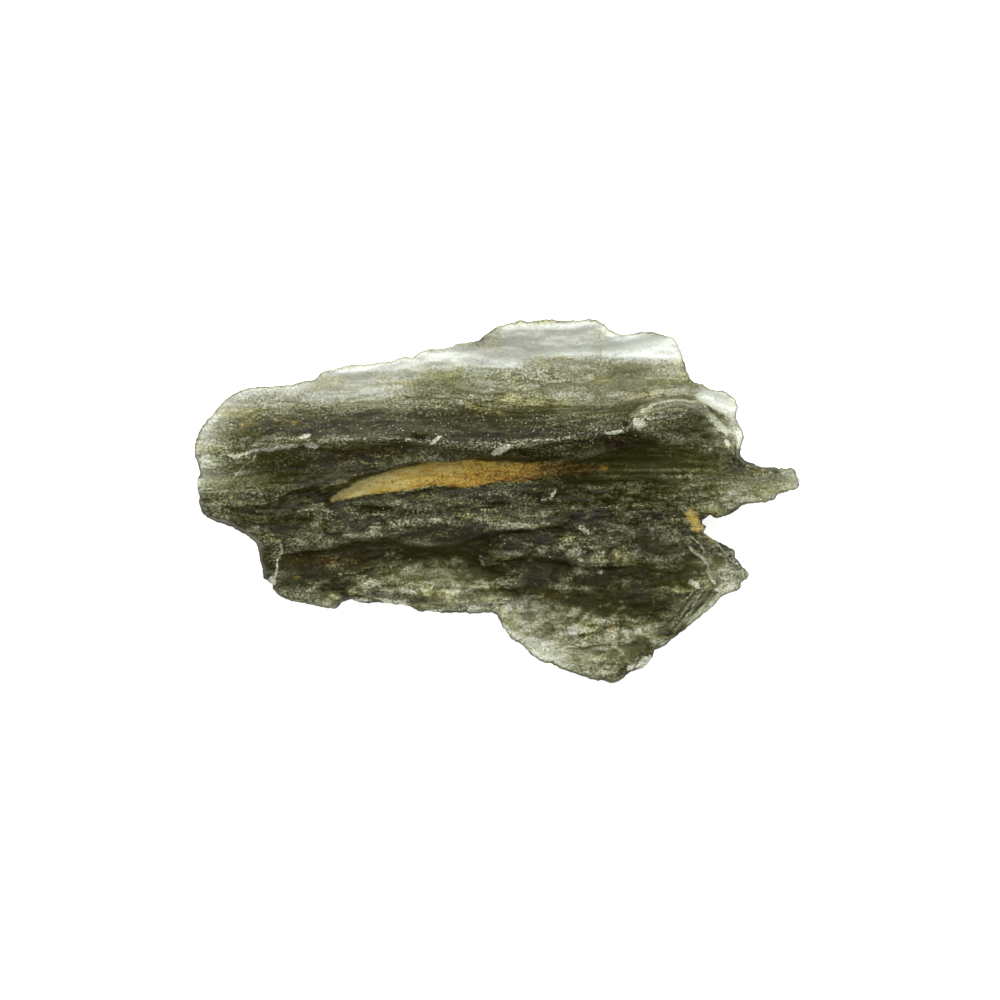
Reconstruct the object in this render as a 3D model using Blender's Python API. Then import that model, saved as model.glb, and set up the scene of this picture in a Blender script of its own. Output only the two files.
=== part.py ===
"""A raw moldavite: one thin, furrowed shard of green natural glass, lying flat as it rests.

The scene is in metres with +Z up. The shape is described in millimetres, seen from above:
x runs along the grain of the glass, y across it, and the origin is the middle of the outline
on the surface that the stone lies on. One net of triangles fills the outline. It is used
twice, for the upper face and for the underside, and the two meet along the rim.
"""

import math
from collections import Counter
from typing import NamedTuple

import bmesh
import bpy
import numpy as np
from mathutils import Vector
from mathutils.geometry import delaunay_2d_cdt

MM = 0.001

# Driving dimensions, in millimetres
LENGTH = 24.1
WIDTH = 14.5
RIM_HEIGHT = 2.2
BELLY_REACH = 4.0
BELLY_ROUNDNESS = 1.7
BELLY_UNEVENNESS = 0.3
BELLY_BUMPS_PER_MM = (0.40, 0.65)
BELLY_SEED = 101
FLUTES_START = 2.0
RIM_LEVEL = 0.4
THINNEST = 0.22
RIM_ROUNDING = 0.05
RIM_ROUNDING_SHARE = 0.10

# Spacing of the net, in millimetres
OUTLINE_STEP = 0.30
RIM_RINGS = (0.07, 0.20)
STEP_ALONG_GRAIN = 0.50
STEP_ACROSS_GRAIN = 0.26
FINEST_LEDGE = 0.20
FINEST_FURROW = 0.16
CLEAR_OF_RINGS = 0.32

GLASS_COLOUR = (0.17, 0.19, 0.08, 1.0)
GLASS_ROUGHNESS = 0.38
GLASS_IOR = 1.49


class Ledge(NamedTuple):
    """A step in the upper face, high on the left of its path."""

    height: float
    sharpness: float
    reach: float
    path: tuple


class Furrow(NamedTuple):
    """A groove in the upper face, along its path."""

    depth: float
    half_width: float
    path: tuple


# The outline, clockwise from the left end
LEFT_SHOULDER = (
    (-12.04, 1.84), (-12.00, 2.52), (-11.72, 3.00), (-11.12, 3.68), (-10.84, 4.08),
    (-10.32, 4.40), (-9.84, 4.52), (-8.28, 4.66), (-7.28, 4.92), (-6.68, 5.24),
)
UPPER_FLANGE = (
    (-5.88, 5.40), (-5.16, 5.46), (-4.20, 5.60), (-3.68, 5.72), (-3.40, 5.68),
    (-3.16, 5.88), (-2.60, 6.08), (-1.88, 6.12), (-1.56, 6.28), (-0.76, 6.44),
    (-0.28, 6.80), (0.12, 7.00), (0.72, 7.16), (2.24, 7.24), (2.92, 7.20),
    (3.64, 7.24), (4.12, 7.12), (4.40, 6.88), (4.76, 6.68), (5.12, 6.60),
    (5.76, 6.76), (6.32, 6.76), (6.80, 6.60), (7.12, 6.40), (7.36, 5.76), (7.72, 4.84),
)
CLEAR_LOBE = (
    (8.20, 4.64), (8.52, 4.44), (9.08, 4.36), (9.40, 4.12), (9.60, 3.72),
    (9.52, 3.32), (9.68, 2.96), (9.84, 2.56), (9.68, 2.16), (9.76, 1.76),
)
SPIKE = (
    (10.12, 1.56), (10.92, 1.32), (11.72, 1.32), (11.96, 1.04), (12.04, 0.68),
    (11.88, 0.44), (11.20, 0.32), (11.04, 0.04), (10.80, -0.04), (9.76, -0.16),
    (9.36, -0.48), (8.84, -0.64), (8.48, -0.56),
)
NOTCH_AND_POINT = (
    (8.16, -0.76), (8.28, -1.00), (8.20, -1.24), (8.60, -1.48), (9.36, -1.92),
    (9.52, -2.24), (9.76, -2.56), (10.00, -2.88), (9.72, -3.24), (9.60, -3.48),
    (9.00, -3.80), (8.24, -4.52), (7.24, -5.24), (6.68, -5.72), (6.28, -5.96),
)
LOWER_TIP = (
    (6.12, -6.28), (5.80, -6.64), (5.28, -6.80), (4.96, -7.08), (4.44, -7.24),
    (4.04, -7.12), (3.12, -6.88), (2.12, -6.48), (1.72, -6.40), (1.32, -6.04),
    (0.92, -5.64), (0.52, -5.40), (0.24, -5.04), (0.04, -4.56),
)
LOWER_EDGE = (
    (-0.16, -4.44), (-1.08, -4.44), (-1.68, -4.40), (-2.36, -4.44), (-3.16, -4.32),
    (-3.48, -4.16), (-4.48, -4.04), (-5.28, -4.04), (-5.80, -3.92), (-6.12, -4.00),
    (-6.28, -4.20), (-6.64, -4.24), (-7.40, -4.12), (-7.96, -4.00), (-8.60, -3.76),
    (-8.88, -3.48),
)
LEFT_BREAK = (
    (-8.88, -3.28), (-9.24, -3.04), (-9.40, -2.60), (-9.40, -2.24), (-9.60, -1.64),
    (-9.84, -1.40), (-10.28, -1.16), (-11.16, -0.80), (-11.72, -0.40), (-11.80, 0.12),
    (-11.92, 0.64), (-11.84, 1.12), (-11.92, 1.52),
)
OUTLINE = (
    LEFT_SHOULDER + UPPER_FLANGE + CLEAR_LOBE + SPIKE
    + NOTCH_AND_POINT + LOWER_TIP + LOWER_EDGE + LEFT_BREAK
)

# How thick the glass is, as (x, y, thickness), zone by zone
PALE_SHOULDER = (
    (-11.68, 2.60, 0.45), (-11.00, 3.32, 0.6), (-10.08, 3.96, 0.7), (-8.28, 4.20, 0.6),
    (-6.28, 4.28, 0.5), (-4.08, 4.40, 0.55), (-2.88, 4.52, 1.1), (-11.48, 1.56, 1.0),
    (-11.28, 0.84, 0.8), (-10.60, 2.44, 1.4),
)
CLEAR_FLANGE = (
    (-6.68, 5.00, 0.4), (-3.88, 5.28, 0.3), (-1.88, 5.60, 0.3), (0.52, 5.60, 0.4),
    (0.32, 6.52, 0.7), (1.72, 6.44, 0.8), (3.32, 6.52, 0.7), (4.92, 6.20, 0.3),
    (6.72, 6.20, 0.3),
)
OLIVE_BAND = (
    (-1.88, 4.76, 1.3), (0.12, 4.64, 1.2), (2.52, 4.72, 1.1), (4.92, 4.80, 1.1),
    (6.72, 4.92, 1.1), (0.12, 3.96, 1.5), (4.12, 3.96, 1.2), (5.72, 4.16, 1.1),
    (7.12, 4.36, 1.1),
)
DARK_BAND = (
    (-9.28, 2.92, 2.6), (-7.88, 3.04, 2.7), (-5.48, 3.16, 3.1), (-2.68, 3.24, 3.3),
    (0.12, 3.08, 3.7), (2.52, 3.16, 3.8), (4.12, 3.32, 4.0),
)
CREST = (
    (-9.68, 2.04, 3.0), (-7.88, 2.32, 4.0), (-3.88, 2.44, 4.6), (0.12, 2.20, 5.0),
    (2.52, 2.52, 4.9), (4.52, 2.72, 4.7), (5.72, 3.56, 3.9), (7.72, 3.72, 3.1),
)
BELOW_CREST = (
    (-7.88, 1.04, 4.0), (-5.48, 1.56, 4.3), (-2.68, 1.84, 4.6), (-9.88, 0.44, 3.4),
    (-10.88, 0.04, 2.8), (-7.88, 0.04, 3.8), (-3.08, 0.36, 4.4), (0.92, 0.56, 4.6),
)
GREY_PLATEAU = (
    (-7.88, -1.08, 3.9), (-5.88, -0.84, 4.0), (-3.08, -0.44, 4.4), (-0.28, -0.56, 4.5),
    (2.52, 0.04, 4.4), (-9.88, -0.68, 2.6), (0.92, -1.76, 4.2), (4.12, -1.88, 4.2),
    (6.52, -1.88, 3.8),
)
RIGHT_SIDE = (
    (6.52, 2.44, 4.0), (5.72, 1.24, 2.3), (8.12, 1.24, 2.8), (8.92, 2.24, 2.4),
    (10.12, 0.64, 1.5), (11.32, 0.84, 1.4), (11.80, 0.84, 0.9), (8.12, -0.28, 1.1),
    (9.12, -0.16, 1.1), (4.92, 0.04, 4.2), (6.72, -0.36, 3.8), (8.72, 3.96, 0.3),
    (9.16, 3.32, 0.8), (9.52, 2.52, 0.9),
)
LOWER_SIDE = (
    (-9.00, -2.36, 2.8), (-7.88, -2.68, 3.4), (-7.48, -3.48, 1.7), (-4.68, -2.56, 2.1),
    (-4.68, -3.48, 1.9), (-1.88, -3.56, 1.5), (-0.28, -3.64, 1.6), (-2.28, -2.68, 1.3),
    (1.72, -3.96, 1.4), (4.12, -4.16, 2.5), (6.12, -3.76, 3.2), (1.32, -3.24, 3.2),
    (4.12, -5.96, 1.1), (1.92, -5.88, 0.5), (4.52, -6.76, 1.4), (5.72, -6.16, 1.6),
    (3.12, -4.96, 1.4), (8.12, -2.36, 1.9), (8.92, -2.44, 1.5), (9.72, -2.92, 0.9),
    (7.72, -3.96, 2.4), (8.32, -4.04, 1.2),
)
THICKNESS_SPOTS = (
    PALE_SHOULDER + CLEAR_FLANGE + OLIVE_BAND + DARK_BAND + CREST
    + BELOW_CREST + GREY_PLATEAU + RIGHT_SIDE + LOWER_SIDE
)
SPOT_ASPECT = 0.28
SPOT_ROUNDING = 0.25

LEDGES = {
    "flange_step": Ledge(0.5, 0.06, 0.6, (
        (7.40, 5.76), (5.72, 5.64), (4.12, 5.72), (2.52, 5.76), (0.92, 5.56), (0.72, 5.28),
        (-1.48, 5.20), (-2.28, 5.04), (-2.88, 4.88), (-3.88, 4.80), (-5.48, 4.76), (-7.00, 4.72),
    )),
    "shoulder_step": Ledge(0.4, 0.10, 0.6, (
        (-0.68, 4.20), (-2.68, 4.12), (-4.68, 3.84), (-6.28, 3.68), (-7.88, 3.72),
        (-9.40, 3.56), (-9.96, 3.00), (-11.28, 2.44),
    )),
    "crest_scarp": Ledge(0.7, 0.16, 0.9, (
        (-10.68, 0.76), (-10.08, 1.40), (-9.56, 1.92), (-7.88, 2.16), (-5.88, 2.28),
        (-3.88, 2.32), (-1.88, 2.12), (0.12, 1.92), (2.52, 2.32), (4.12, 2.56),
        (5.52, 2.68), (6.52, 2.20), (8.12, 1.96),
    )),
    "hump_edge": Ledge(0.7, 0.12, 0.7, (
        (9.64, 2.44), (9.00, 2.92), (8.44, 3.56), (8.04, 3.96), (6.52, 4.04),
        (5.72, 3.88), (5.32, 3.40), (4.84, 2.76),
    )),
    "groove_lip": Ledge(0.5, 0.10, 0.5, (
        (-7.88, 0.04), (-6.28, 0.48), (-5.08, 1.00), (-3.88, 1.32), (-2.28, 1.60),
        (0.12, 1.68), (2.52, 1.68), (4.92, 1.68), (8.12, 1.64),
    )),
    "plateau_scarp": Ledge(0.9, 0.14, 0.8, (
        (-8.88, -2.20), (-7.48, -2.00), (-6.28, -1.76), (-5.08, -1.60), (-3.88, -1.60),
        (-2.68, -1.88), (-1.68, -1.76), (-0.68, -1.48), (0.92, -1.16), (2.52, -0.84),
        (3.52, -0.68),
    )),
    "tongue_scarp": Ledge(0.9, 0.14, 0.8, (
        (-1.08, -1.88), (-0.52, -2.60), (0.12, -2.36), (1.32, -2.20), (2.52, -2.36),
        (4.12, -2.64), (5.72, -2.64), (7.72, -2.92),
    )),
    "lower_rim_chips": Ledge(0.5, 0.08, 0.5, (
        (-6.08, -3.64), (-3.88, -3.64), (-2.88, -3.96), (-2.28, -4.20), (-1.08, -4.08),
        (0.00, -4.20),
    )),
}
FURROWS = {
    "groove_tail": Furrow(0.30, 0.22, ((4.12, 1.36), (6.52, 1.44), (8.92, 1.52))),
    "right_furrow": Furrow(0.30, 0.12, ((2.52, 0.92), (4.92, 0.92), (7.72, 0.88))),
    "small_slot": Furrow(0.25, 0.12, ((-6.28, -0.28), (-5.08, -0.32), (-4.04, -0.36))),
    "upper_plateau_line": Furrow(0.20, 0.10, ((-4.08, -0.08), (-2.68, 0.36), (-1.08, 0.76))),
    "lower_plateau_line": Furrow(0.20, 0.10, ((-2.28, -0.44), (-0.68, -0.24), (0.92, -0.28))),
    "left_furrow": Furrow(0.30, 0.16, ((-8.68, 0.04), (-7.88, 0.28), (-6.88, 0.52))),
    "middle_furrow": Furrow(0.25, 0.12, ((0.92, 0.16), (2.52, 0.44), (4.52, 0.36))),
}
LEDGE_END_TAPER = 0.12
FURROW_END_TAPER = 0.25

# The spindle-shaped hollow below the crest
HOLLOW_EDGE = (
    (-6.72, 0.08), (-6.08, 0.56), (-5.08, 1.00), (-3.88, 1.32), (-2.68, 1.56),
    (-1.08, 1.66), (0.92, 1.60), (2.92, 1.62), (4.16, 1.56), (4.12, 1.10),
    (3.32, 0.98), (2.12, 0.88), (0.92, 0.68), (0.12, 0.72), (-1.08, 0.50),
    (-2.28, 0.56), (-3.48, 0.40), (-4.68, 0.26), (-5.88, 0.04), (-6.60, -0.06),
)
HOLLOW_STEP = 0.2
HOLLOW_DEPTH = 0.34
HOLLOW_BANK = 0.42
HOLLOW_BANK_OUTSIDE = 0.25

# The grain of the glass: waves that run along x, as (height, waves per mm along x, across, seed)
GRAIN_WAVES = ((0.13, 0.35, 1.9, 11), (0.05, 0.7, 3.4, 21))
UNDERSIDE_WAVES = ((0.30, 0.22, 0.9, 41), (0.10, 0.6, 2.4, 51))
OUTLINE_RAGGEDNESS = 0.04
OUTLINE_BUMPS_PER_MM = 2.3
OUTLINE_SEED = 3
OUTLINE_LAYERS = 4
OUTLINE_GAIN = 0.7

# The grain runs a little downhill to the right and sways, and ledges wander off their paths
GRAIN_SLOPE = 0.035
GRAIN_SWAY = 0.12
GRAIN_SWAY_PER_MM = 0.55
WANDER_ALONG = 0.15
WANDER_ALONG_BUMPS = (0.5, 0.9)
WANDER_ALONG_SEED = 5
WANDER_ACROSS = 0.10
WANDER_ACROSS_BUMPS = (0.9, 1.1)
WANDER_ACROSS_SEED = 7


def corner_value(column, row, seed):
    """A fixed pseudo-random number from -1 to 1 for each corner of a square lattice."""
    mixed = column.astype(np.int64) * 374761393 + row.astype(np.int64) * 668265263
    mixed = (mixed + seed * 974711) & 0xFFFFFFFF
    mixed = ((mixed ^ (mixed >> 13)) * 1274126177) & 0xFFFFFFFF
    return ((mixed ^ (mixed >> 16)) & 0xFFFF) / 32767.5 - 1


def lattice_noise(u, v, seed):
    """Smooth noise from -1 to 1, one bump to each unit of u and v."""
    column, row = np.floor(u), np.floor(v)
    right, up = u - column, v - row
    right = right**3 * (right * (right * 6 - 15) + 10)
    up = up**3 * (up * (up * 6 - 15) + 10)
    low = corner_value(column, row, seed) * (1 - right)
    low = low + corner_value(column + 1, row, seed) * right
    high = corner_value(column, row + 1, seed) * (1 - right)
    high = high + corner_value(column + 1, row + 1, seed) * right
    return low * (1 - up) + high * up


def layered_noise(u, v, seed, layers=3, gain=0.6):
    """Noise with finer and weaker copies of itself added."""
    return sum(gain**k * lattice_noise(u * 2**k, v * 2**k, seed + k) for k in range(layers))


def smooth_closed_curve(points, step):
    """Points about a step apart on a smooth closed curve through the given ones."""
    points = np.asarray(points, float)
    count = len(points)
    pieces = []
    for i in range(count):
        before, start = points[i - 1], points[i]
        end, after = points[(i + 1) % count], points[(i + 2) % count]
        parts = max(1, round(float(np.linalg.norm(end - start)) / step))
        t = (np.arange(parts) / parts)[:, None]
        pull_start, pull_end = 0.4 * (end - before), 0.4 * (after - start)
        pieces.append(
            (2 * t**3 - 3 * t**2 + 1) * start + (t**3 - 2 * t**2 + t) * pull_start
            + (3 * t**2 - 2 * t**3) * end + (t**3 - t**2) * pull_end
        )
    return np.concatenate(pieces)


def inward_normals(points):
    """Unit vectors that point into an outline drawn clockwise."""
    tangent = np.roll(points, -1, 0) - np.roll(points, 1, 0)
    tangent /= np.linalg.norm(tangent, axis=1)[:, None]
    return np.stack([tangent[:, 1], -tangent[:, 0]], 1)


def broken_outline():
    """The outline with the small raggedness of a broken edge, fitted to LENGTH and WIDTH."""
    points = smooth_closed_curve(OUTLINE, OUTLINE_STEP)
    u, v = points.T * OUTLINE_BUMPS_PER_MM
    ragged = layered_noise(u, v, OUTLINE_SEED, OUTLINE_LAYERS, OUTLINE_GAIN)
    points = points - inward_normals(points) * (OUTLINE_RAGGEDNESS * ragged)[:, None]
    low, high = points.min(0), points.max(0)
    return (points - (low + high) / 2) * (LENGTH, WIDTH) / (high - low)


def distance_inside(x, y, outline):
    """Distance from each place to the outline, negative outside it."""
    nearest = np.full(x.shape, np.inf)
    inside = np.zeros(x.shape, bool)
    for (ax, ay), (bx, by) in zip(outline, np.roll(outline, -1, 0)):
        length = math.hypot(bx - ax, by - ay)
        ux, uy = (bx - ax) / length, (by - ay) / length
        t = np.clip((x - ax) * ux + (y - ay) * uy, 0, length)
        nearest = np.minimum(nearest, np.hypot(x - ax - t * ux, y - ay - t * uy))
        spans = (ay > y) != (by > y)
        rise = by - ay if by != ay else 1e-12
        inside ^= spans & (x < ax + (y - ay) / rise * (bx - ax))
    return np.where(inside, nearest, -nearest)


def along_path(path, x, y):
    """Distance from a path, positive on its left, and how far along it, from 0 to 1."""
    path = np.asarray(path, float)
    lengths = np.linalg.norm(np.diff(path, axis=0), axis=1)
    starts = np.concatenate([[0], np.cumsum(lengths)])
    nearest = np.full(x.shape, np.inf)
    side = np.ones(x.shape)
    share = np.zeros(x.shape)
    for (ax, ay), (bx, by), length, start in zip(path, path[1:], lengths, starts):
        ux, uy = (bx - ax) / length, (by - ay) / length
        t = np.clip((x - ax) * ux + (y - ay) * uy, 0, length)
        distance = np.hypot(x - ax - t * ux, y - ay - t * uy)
        closer = distance < nearest
        nearest = np.where(closer, distance, nearest)
        side = np.where(closer, np.sign(ux * (y - ay) - uy * (x - ax)), side)
        share = np.where(closer, (start + t) / starts[-1], share)
    return nearest * side, share


def smooth_step(t):
    """Eases from 0 to 1 as t does, and stays level outside that range."""
    t = np.clip(t, 0, 1)
    return t * t * (3 - 2 * t)


def taper(share, ends):
    """1 along the middle of a path, falling smoothly to 0 over each end."""
    return smooth_step(np.minimum(share, 1 - share) / ends)


def spot_distance(dx, dy):
    """Distance between thickness spots, which reach further along the grain than across it."""
    return np.sqrt((dx * SPOT_ASPECT) ** 2 + dy**2 + SPOT_ROUNDING**2)


def glass_thickness(x, y):
    """Thickness of the glass, through all the spots and smooth between them."""
    spots = np.array(THICKNESS_SPOTS)
    across = spots[:, None, :2] - spots[None, :, :2]
    count = len(spots)
    system = np.ones((count + 1, count + 1))
    system[:count, :count] = spot_distance(across[..., 0], across[..., 1])
    system[count, count] = 0
    weights = np.linalg.solve(system, np.append(spots[:, 2], 0))
    total = np.full(x.shape, weights[-1])
    for (spot_x, spot_y, _), weight in zip(THICKNESS_SPOTS, weights):
        total = total + weight * spot_distance(x - spot_x, y - spot_y)
    return np.maximum(total, THINNEST)


def waves(x, y, kinds):
    """Low ripples that follow the grain."""
    flow = y - GRAIN_SLOPE * x + GRAIN_SWAY * np.sin(x * GRAIN_SWAY_PER_MM)
    return sum(
        height * layered_noise(x * along, flow * across, seed)
        for height, along, across, seed in kinds
    )


def wander(x, y, bumps, seed):
    """Smooth noise from -1 to 1 with the given bumps per millimetre along x and y."""
    return lattice_noise(x * bumps[0], y * bumps[1], seed)


def upper_relief(x, y):
    """What the ledges, furrows and grain add to the upper face."""
    drift_x = wander(x, y, WANDER_ALONG_BUMPS, WANDER_ALONG_SEED) * WANDER_ALONG
    drift_y = wander(x, y, WANDER_ACROSS_BUMPS, WANDER_ACROSS_SEED) * WANDER_ACROSS
    total = waves(x, y, GRAIN_WAVES)
    for ledge in LEDGES.values():
        d, share = along_path(ledge.path, x + drift_x, y + drift_y)
        step = ledge.height / 2 * np.tanh(d / max(ledge.sharpness, FINEST_LEDGE))
        total = total + step * np.exp(-np.abs(d) / ledge.reach) * taper(share, LEDGE_END_TAPER)
    for furrow in FURROWS.values():
        d, share = along_path(furrow.path, x, y + drift_y)
        groove = furrow.depth * np.exp(-((d / max(furrow.half_width, FINEST_FURROW)) ** 2))
        total = total - groove * taper(share, FURROW_END_TAPER)
    hollow = distance_inside(x, y + drift_y, smooth_closed_curve(HOLLOW_EDGE, HOLLOW_STEP))
    return total - HOLLOW_DEPTH * smooth_step(hollow / HOLLOW_BANK + HOLLOW_BANK_OUTSIDE)


def underside(x, y, inset):
    """Height of the underside: flat far inside the rim, and rising towards it."""
    uneven = wander(x, y, BELLY_BUMPS_PER_MM, BELLY_SEED)
    share = np.clip((inset + BELLY_UNEVENNESS * uneven) / BELLY_REACH, 0, 1)
    rise = (1 - share) ** BELLY_ROUNDNESS
    fluted = np.clip(rise * FLUTES_START, 0, 1)
    return RIM_HEIGHT * rise + fluted * np.abs(waves(x, y, UNDERSIDE_WAVES))


def surfaces(x, y, inset):
    """Heights of the upper face and of the underside, inset from the rim by a distance."""
    thick = glass_thickness(x, y)
    share = np.clip(inset / (RIM_ROUNDING + RIM_ROUNDING_SHARE * thick), 0, 1)
    swell = np.sqrt(1 - (1 - share) ** 2)
    low = underside(x, y, inset)
    middle = low + RIM_LEVEL * thick
    body = np.maximum(thick + upper_relief(x, y), RIM_LEVEL * thick + THINNEST / 2)
    return middle + (low + body - middle) * swell, middle + (low - middle) * swell


def net_points(outline):
    """Places inside the outline: rings close to the rim, then rows that follow the grain."""
    normals = inward_normals(outline)
    rings = [outline + normals * ring for ring in RIM_RINGS]
    columns = np.arange(-LENGTH / 2, LENGTH / 2, STEP_ALONG_GRAIN)
    rows = np.arange(-WIDTH / 2, WIDTH / 2, STEP_ACROSS_GRAIN)
    x, y = np.meshgrid(columns, rows)
    x[1::2] += STEP_ALONG_GRAIN / 2
    inner = np.stack([x.ravel(), y.ravel()], 1)
    inner = inner[distance_inside(inner[:, 0], inner[:, 1], outline) > CLEAR_OF_RINGS]
    for ring, offset in zip(rings, RIM_RINGS):
        clear = distance_inside(ring[:, 0], ring[:, 1], outline) > offset * 0.8
        inner = np.concatenate([inner, ring[clear]])
    return inner


def triangle_net(outline, inner):
    """Triangles that fill the outline, as places, corner indices and a rim flag per place."""
    plan = [Vector(p) for p in np.concatenate([outline, inner])]
    count = len(outline)
    rim_edges = [(i, (i + 1) % count) for i in range(count)]
    points, _, triangles, sources, _, _ = delaunay_2d_cdt(plan, rim_edges, [], 1, 1e-6, True)
    places = np.array([tuple(p) for p in points])
    on_rim = np.array([any(i < count for i in source) for source in sources])
    centres = places[np.array(triangles)].mean(1)
    inside = distance_inside(centres[:, 0], centres[:, 1], outline) > 0
    return places, [corners for corners, keep in zip(triangles, inside) if keep], on_rim


def shortcut_middles(places, triangles, on_rim):
    """Middles of the edges that join two rim places across the glass."""
    uses = Counter(frozenset(edge) for a, b, c in triangles for edge in ((a, b), (b, c), (c, a)))
    shortcuts = [tuple(edge) for edge, count in uses.items() if count == 2]
    return [(places[a] + places[b]) / 2 for a, b in shortcuts if on_rim[a] and on_rim[b]]


def filled_net(outline):
    """The net of triangles, with a place inside the rim at a corner of every triangle."""
    inner = net_points(outline)
    flat, triangles, on_rim = triangle_net(outline, inner)
    for _ in range(3):
        middles = shortcut_middles(flat, triangles, on_rim)
        if not middles:
            break
        inner = np.concatenate([inner, middles])
        flat, triangles, on_rim = triangle_net(outline, inner)
    return flat, triangles, on_rim


def shard_mesh():
    """The closed mesh of the stone, in metres."""
    outline = broken_outline()
    flat, triangles, on_rim = filled_net(outline)
    inset = np.where(on_rim, 0, np.abs(distance_inside(flat[:, 0], flat[:, 1], outline)))
    upper, lower = surfaces(flat[:, 0], flat[:, 1], inset)
    mesh = bmesh.new()
    tops = [mesh.verts.new((x * MM, y * MM, z * MM)) for (x, y), z in zip(flat, upper)]
    bottoms = [
        top if rim else mesh.verts.new((x * MM, y * MM, z * MM))
        for top, rim, (x, y), z in zip(tops, on_rim, flat, lower)
    ]
    for a, b, c in triangles:
        mesh.faces.new((tops[a], tops[b], tops[c]))
        mesh.faces.new((bottoms[c], bottoms[b], bottoms[a]))
    mesh.normal_update()
    data = bpy.data.meshes.new("moldavite")
    mesh.to_mesh(data)
    mesh.free()
    return data


def glass_material():
    """Matt, etched green glass."""
    material = bpy.data.materials.new("moldavite_glass")
    material.use_nodes = True
    shader = material.node_tree.nodes["Principled BSDF"]
    shader.inputs["Base Color"].default_value = GLASS_COLOUR
    shader.inputs["Roughness"].default_value = GLASS_ROUGHNESS
    shader.inputs["Metallic"].default_value = 0.0
    shader.inputs["IOR"].default_value = GLASS_IOR
    return material


def main():
    """Clears the scene and models the stone."""
    for old in list(bpy.data.objects):
        bpy.data.objects.remove(old)
    data = shard_mesh()
    data.materials.append(glass_material())
    data.shade_smooth()
    data.set_sharp_from_angle(angle=math.radians(40))
    stone = bpy.data.objects.new("moldavite", data)
    bpy.context.scene.collection.objects.link(stone)


main()
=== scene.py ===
"""Looks of a raw moldavite: a thin, furrowed shard of olive-green natural glass.

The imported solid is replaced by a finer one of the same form. Its upper face and its underside
are two height fields over one broken outline, and they meet along the rim. The glass is clear
and gets its colour from absorption, so it is pale where it is thin and nearly black where it is
thick. Lengths in the shape are in millimetres, seen from above: x runs along the grain of the
glass, y across it towards the thin flange, and z up from the surface that the stone lies on.
"""

import logging
import math
from dataclasses import dataclass, field
from enum import Enum

import bpy
import numpy as np
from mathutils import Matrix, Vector
from mathutils.geometry import delaunay_2d_cdt


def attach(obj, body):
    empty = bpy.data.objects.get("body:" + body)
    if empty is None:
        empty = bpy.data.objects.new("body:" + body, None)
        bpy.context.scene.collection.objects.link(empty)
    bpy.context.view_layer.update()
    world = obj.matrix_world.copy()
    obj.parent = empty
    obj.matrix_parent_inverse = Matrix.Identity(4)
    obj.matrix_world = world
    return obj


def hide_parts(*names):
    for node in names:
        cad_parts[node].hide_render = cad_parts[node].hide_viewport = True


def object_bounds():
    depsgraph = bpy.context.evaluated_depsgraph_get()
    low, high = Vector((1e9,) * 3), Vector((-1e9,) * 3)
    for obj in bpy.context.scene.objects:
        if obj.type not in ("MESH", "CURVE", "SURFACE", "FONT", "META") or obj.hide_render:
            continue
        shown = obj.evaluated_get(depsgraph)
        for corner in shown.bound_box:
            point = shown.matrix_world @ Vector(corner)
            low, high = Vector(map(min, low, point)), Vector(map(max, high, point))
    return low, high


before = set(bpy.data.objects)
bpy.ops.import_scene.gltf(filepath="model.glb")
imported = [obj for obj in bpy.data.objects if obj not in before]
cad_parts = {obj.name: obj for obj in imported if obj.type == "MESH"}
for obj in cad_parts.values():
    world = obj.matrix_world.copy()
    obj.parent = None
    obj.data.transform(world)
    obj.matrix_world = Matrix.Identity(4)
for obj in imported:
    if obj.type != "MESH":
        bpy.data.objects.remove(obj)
CAD_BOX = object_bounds()
NODE = "moldavite"
MM = 0.001
LOG = logging.getLogger(NODE)

Point = tuple[float, float]
Path = tuple[Point, ...]
Colour = tuple[float, float, float]
Stop = tuple[float, Colour]
Ripple = tuple[float, float, float, int]

# The photograph: 25 of its pixels are a millimetre, and its middle is close to the stone's
PIXELS_PER_MM = 25
PHOTO_SIZE = 1000
STONE_MIDDLE = (497, 501)

# The grain of the glass climbs from left to right and wavers, in millimetres
GRAIN_SLOPE = 0.035
GRAIN_WAVER = 0.12
GRAIN_BENDS = 0.55

# Large odd numbers that mix a lattice corner's column, row and seed
HASH_FACTORS = (374761393, 668265263, 974711, 1274126177)

# The outline, clockwise from the left end
LEFT_SHOULDER: Path = (
    (-12.04, 1.84), (-12.00, 2.52), (-11.72, 3.00), (-11.12, 3.68), (-10.84, 4.08),
    (-10.32, 4.40), (-9.84, 4.52), (-8.28, 4.66), (-7.28, 4.92), (-6.68, 5.24),
)
UPPER_FLANGE: Path = (
    (-5.88, 5.40), (-5.16, 5.46), (-4.20, 5.60), (-3.68, 5.72), (-3.40, 5.68),
    (-3.16, 5.88), (-2.60, 6.08), (-1.88, 6.12), (-1.56, 6.28), (-0.76, 6.44),
    (-0.28, 6.80), (0.12, 7.00), (0.72, 7.16), (2.24, 7.24), (2.92, 7.20),
    (3.64, 7.24), (4.12, 7.12), (4.40, 6.88), (4.76, 6.68), (5.12, 6.60),
    (5.76, 6.76), (6.32, 6.76), (6.80, 6.60), (7.12, 6.40), (7.36, 5.76), (7.72, 4.84),
)
CLEAR_LOBE: Path = (
    (8.20, 4.64), (8.52, 4.44), (9.08, 4.36), (9.40, 4.12), (9.60, 3.72),
    (9.52, 3.32), (9.68, 2.96), (9.84, 2.56), (9.68, 2.16), (9.76, 1.76),
)
SPIKE: Path = (
    (10.12, 1.56), (10.92, 1.32), (11.72, 1.32), (11.96, 1.04), (12.04, 0.68),
    (11.88, 0.44), (11.20, 0.32), (11.04, 0.04), (10.80, -0.04), (9.76, -0.16),
    (9.36, -0.48), (8.84, -0.64), (8.48, -0.56),
)
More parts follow.
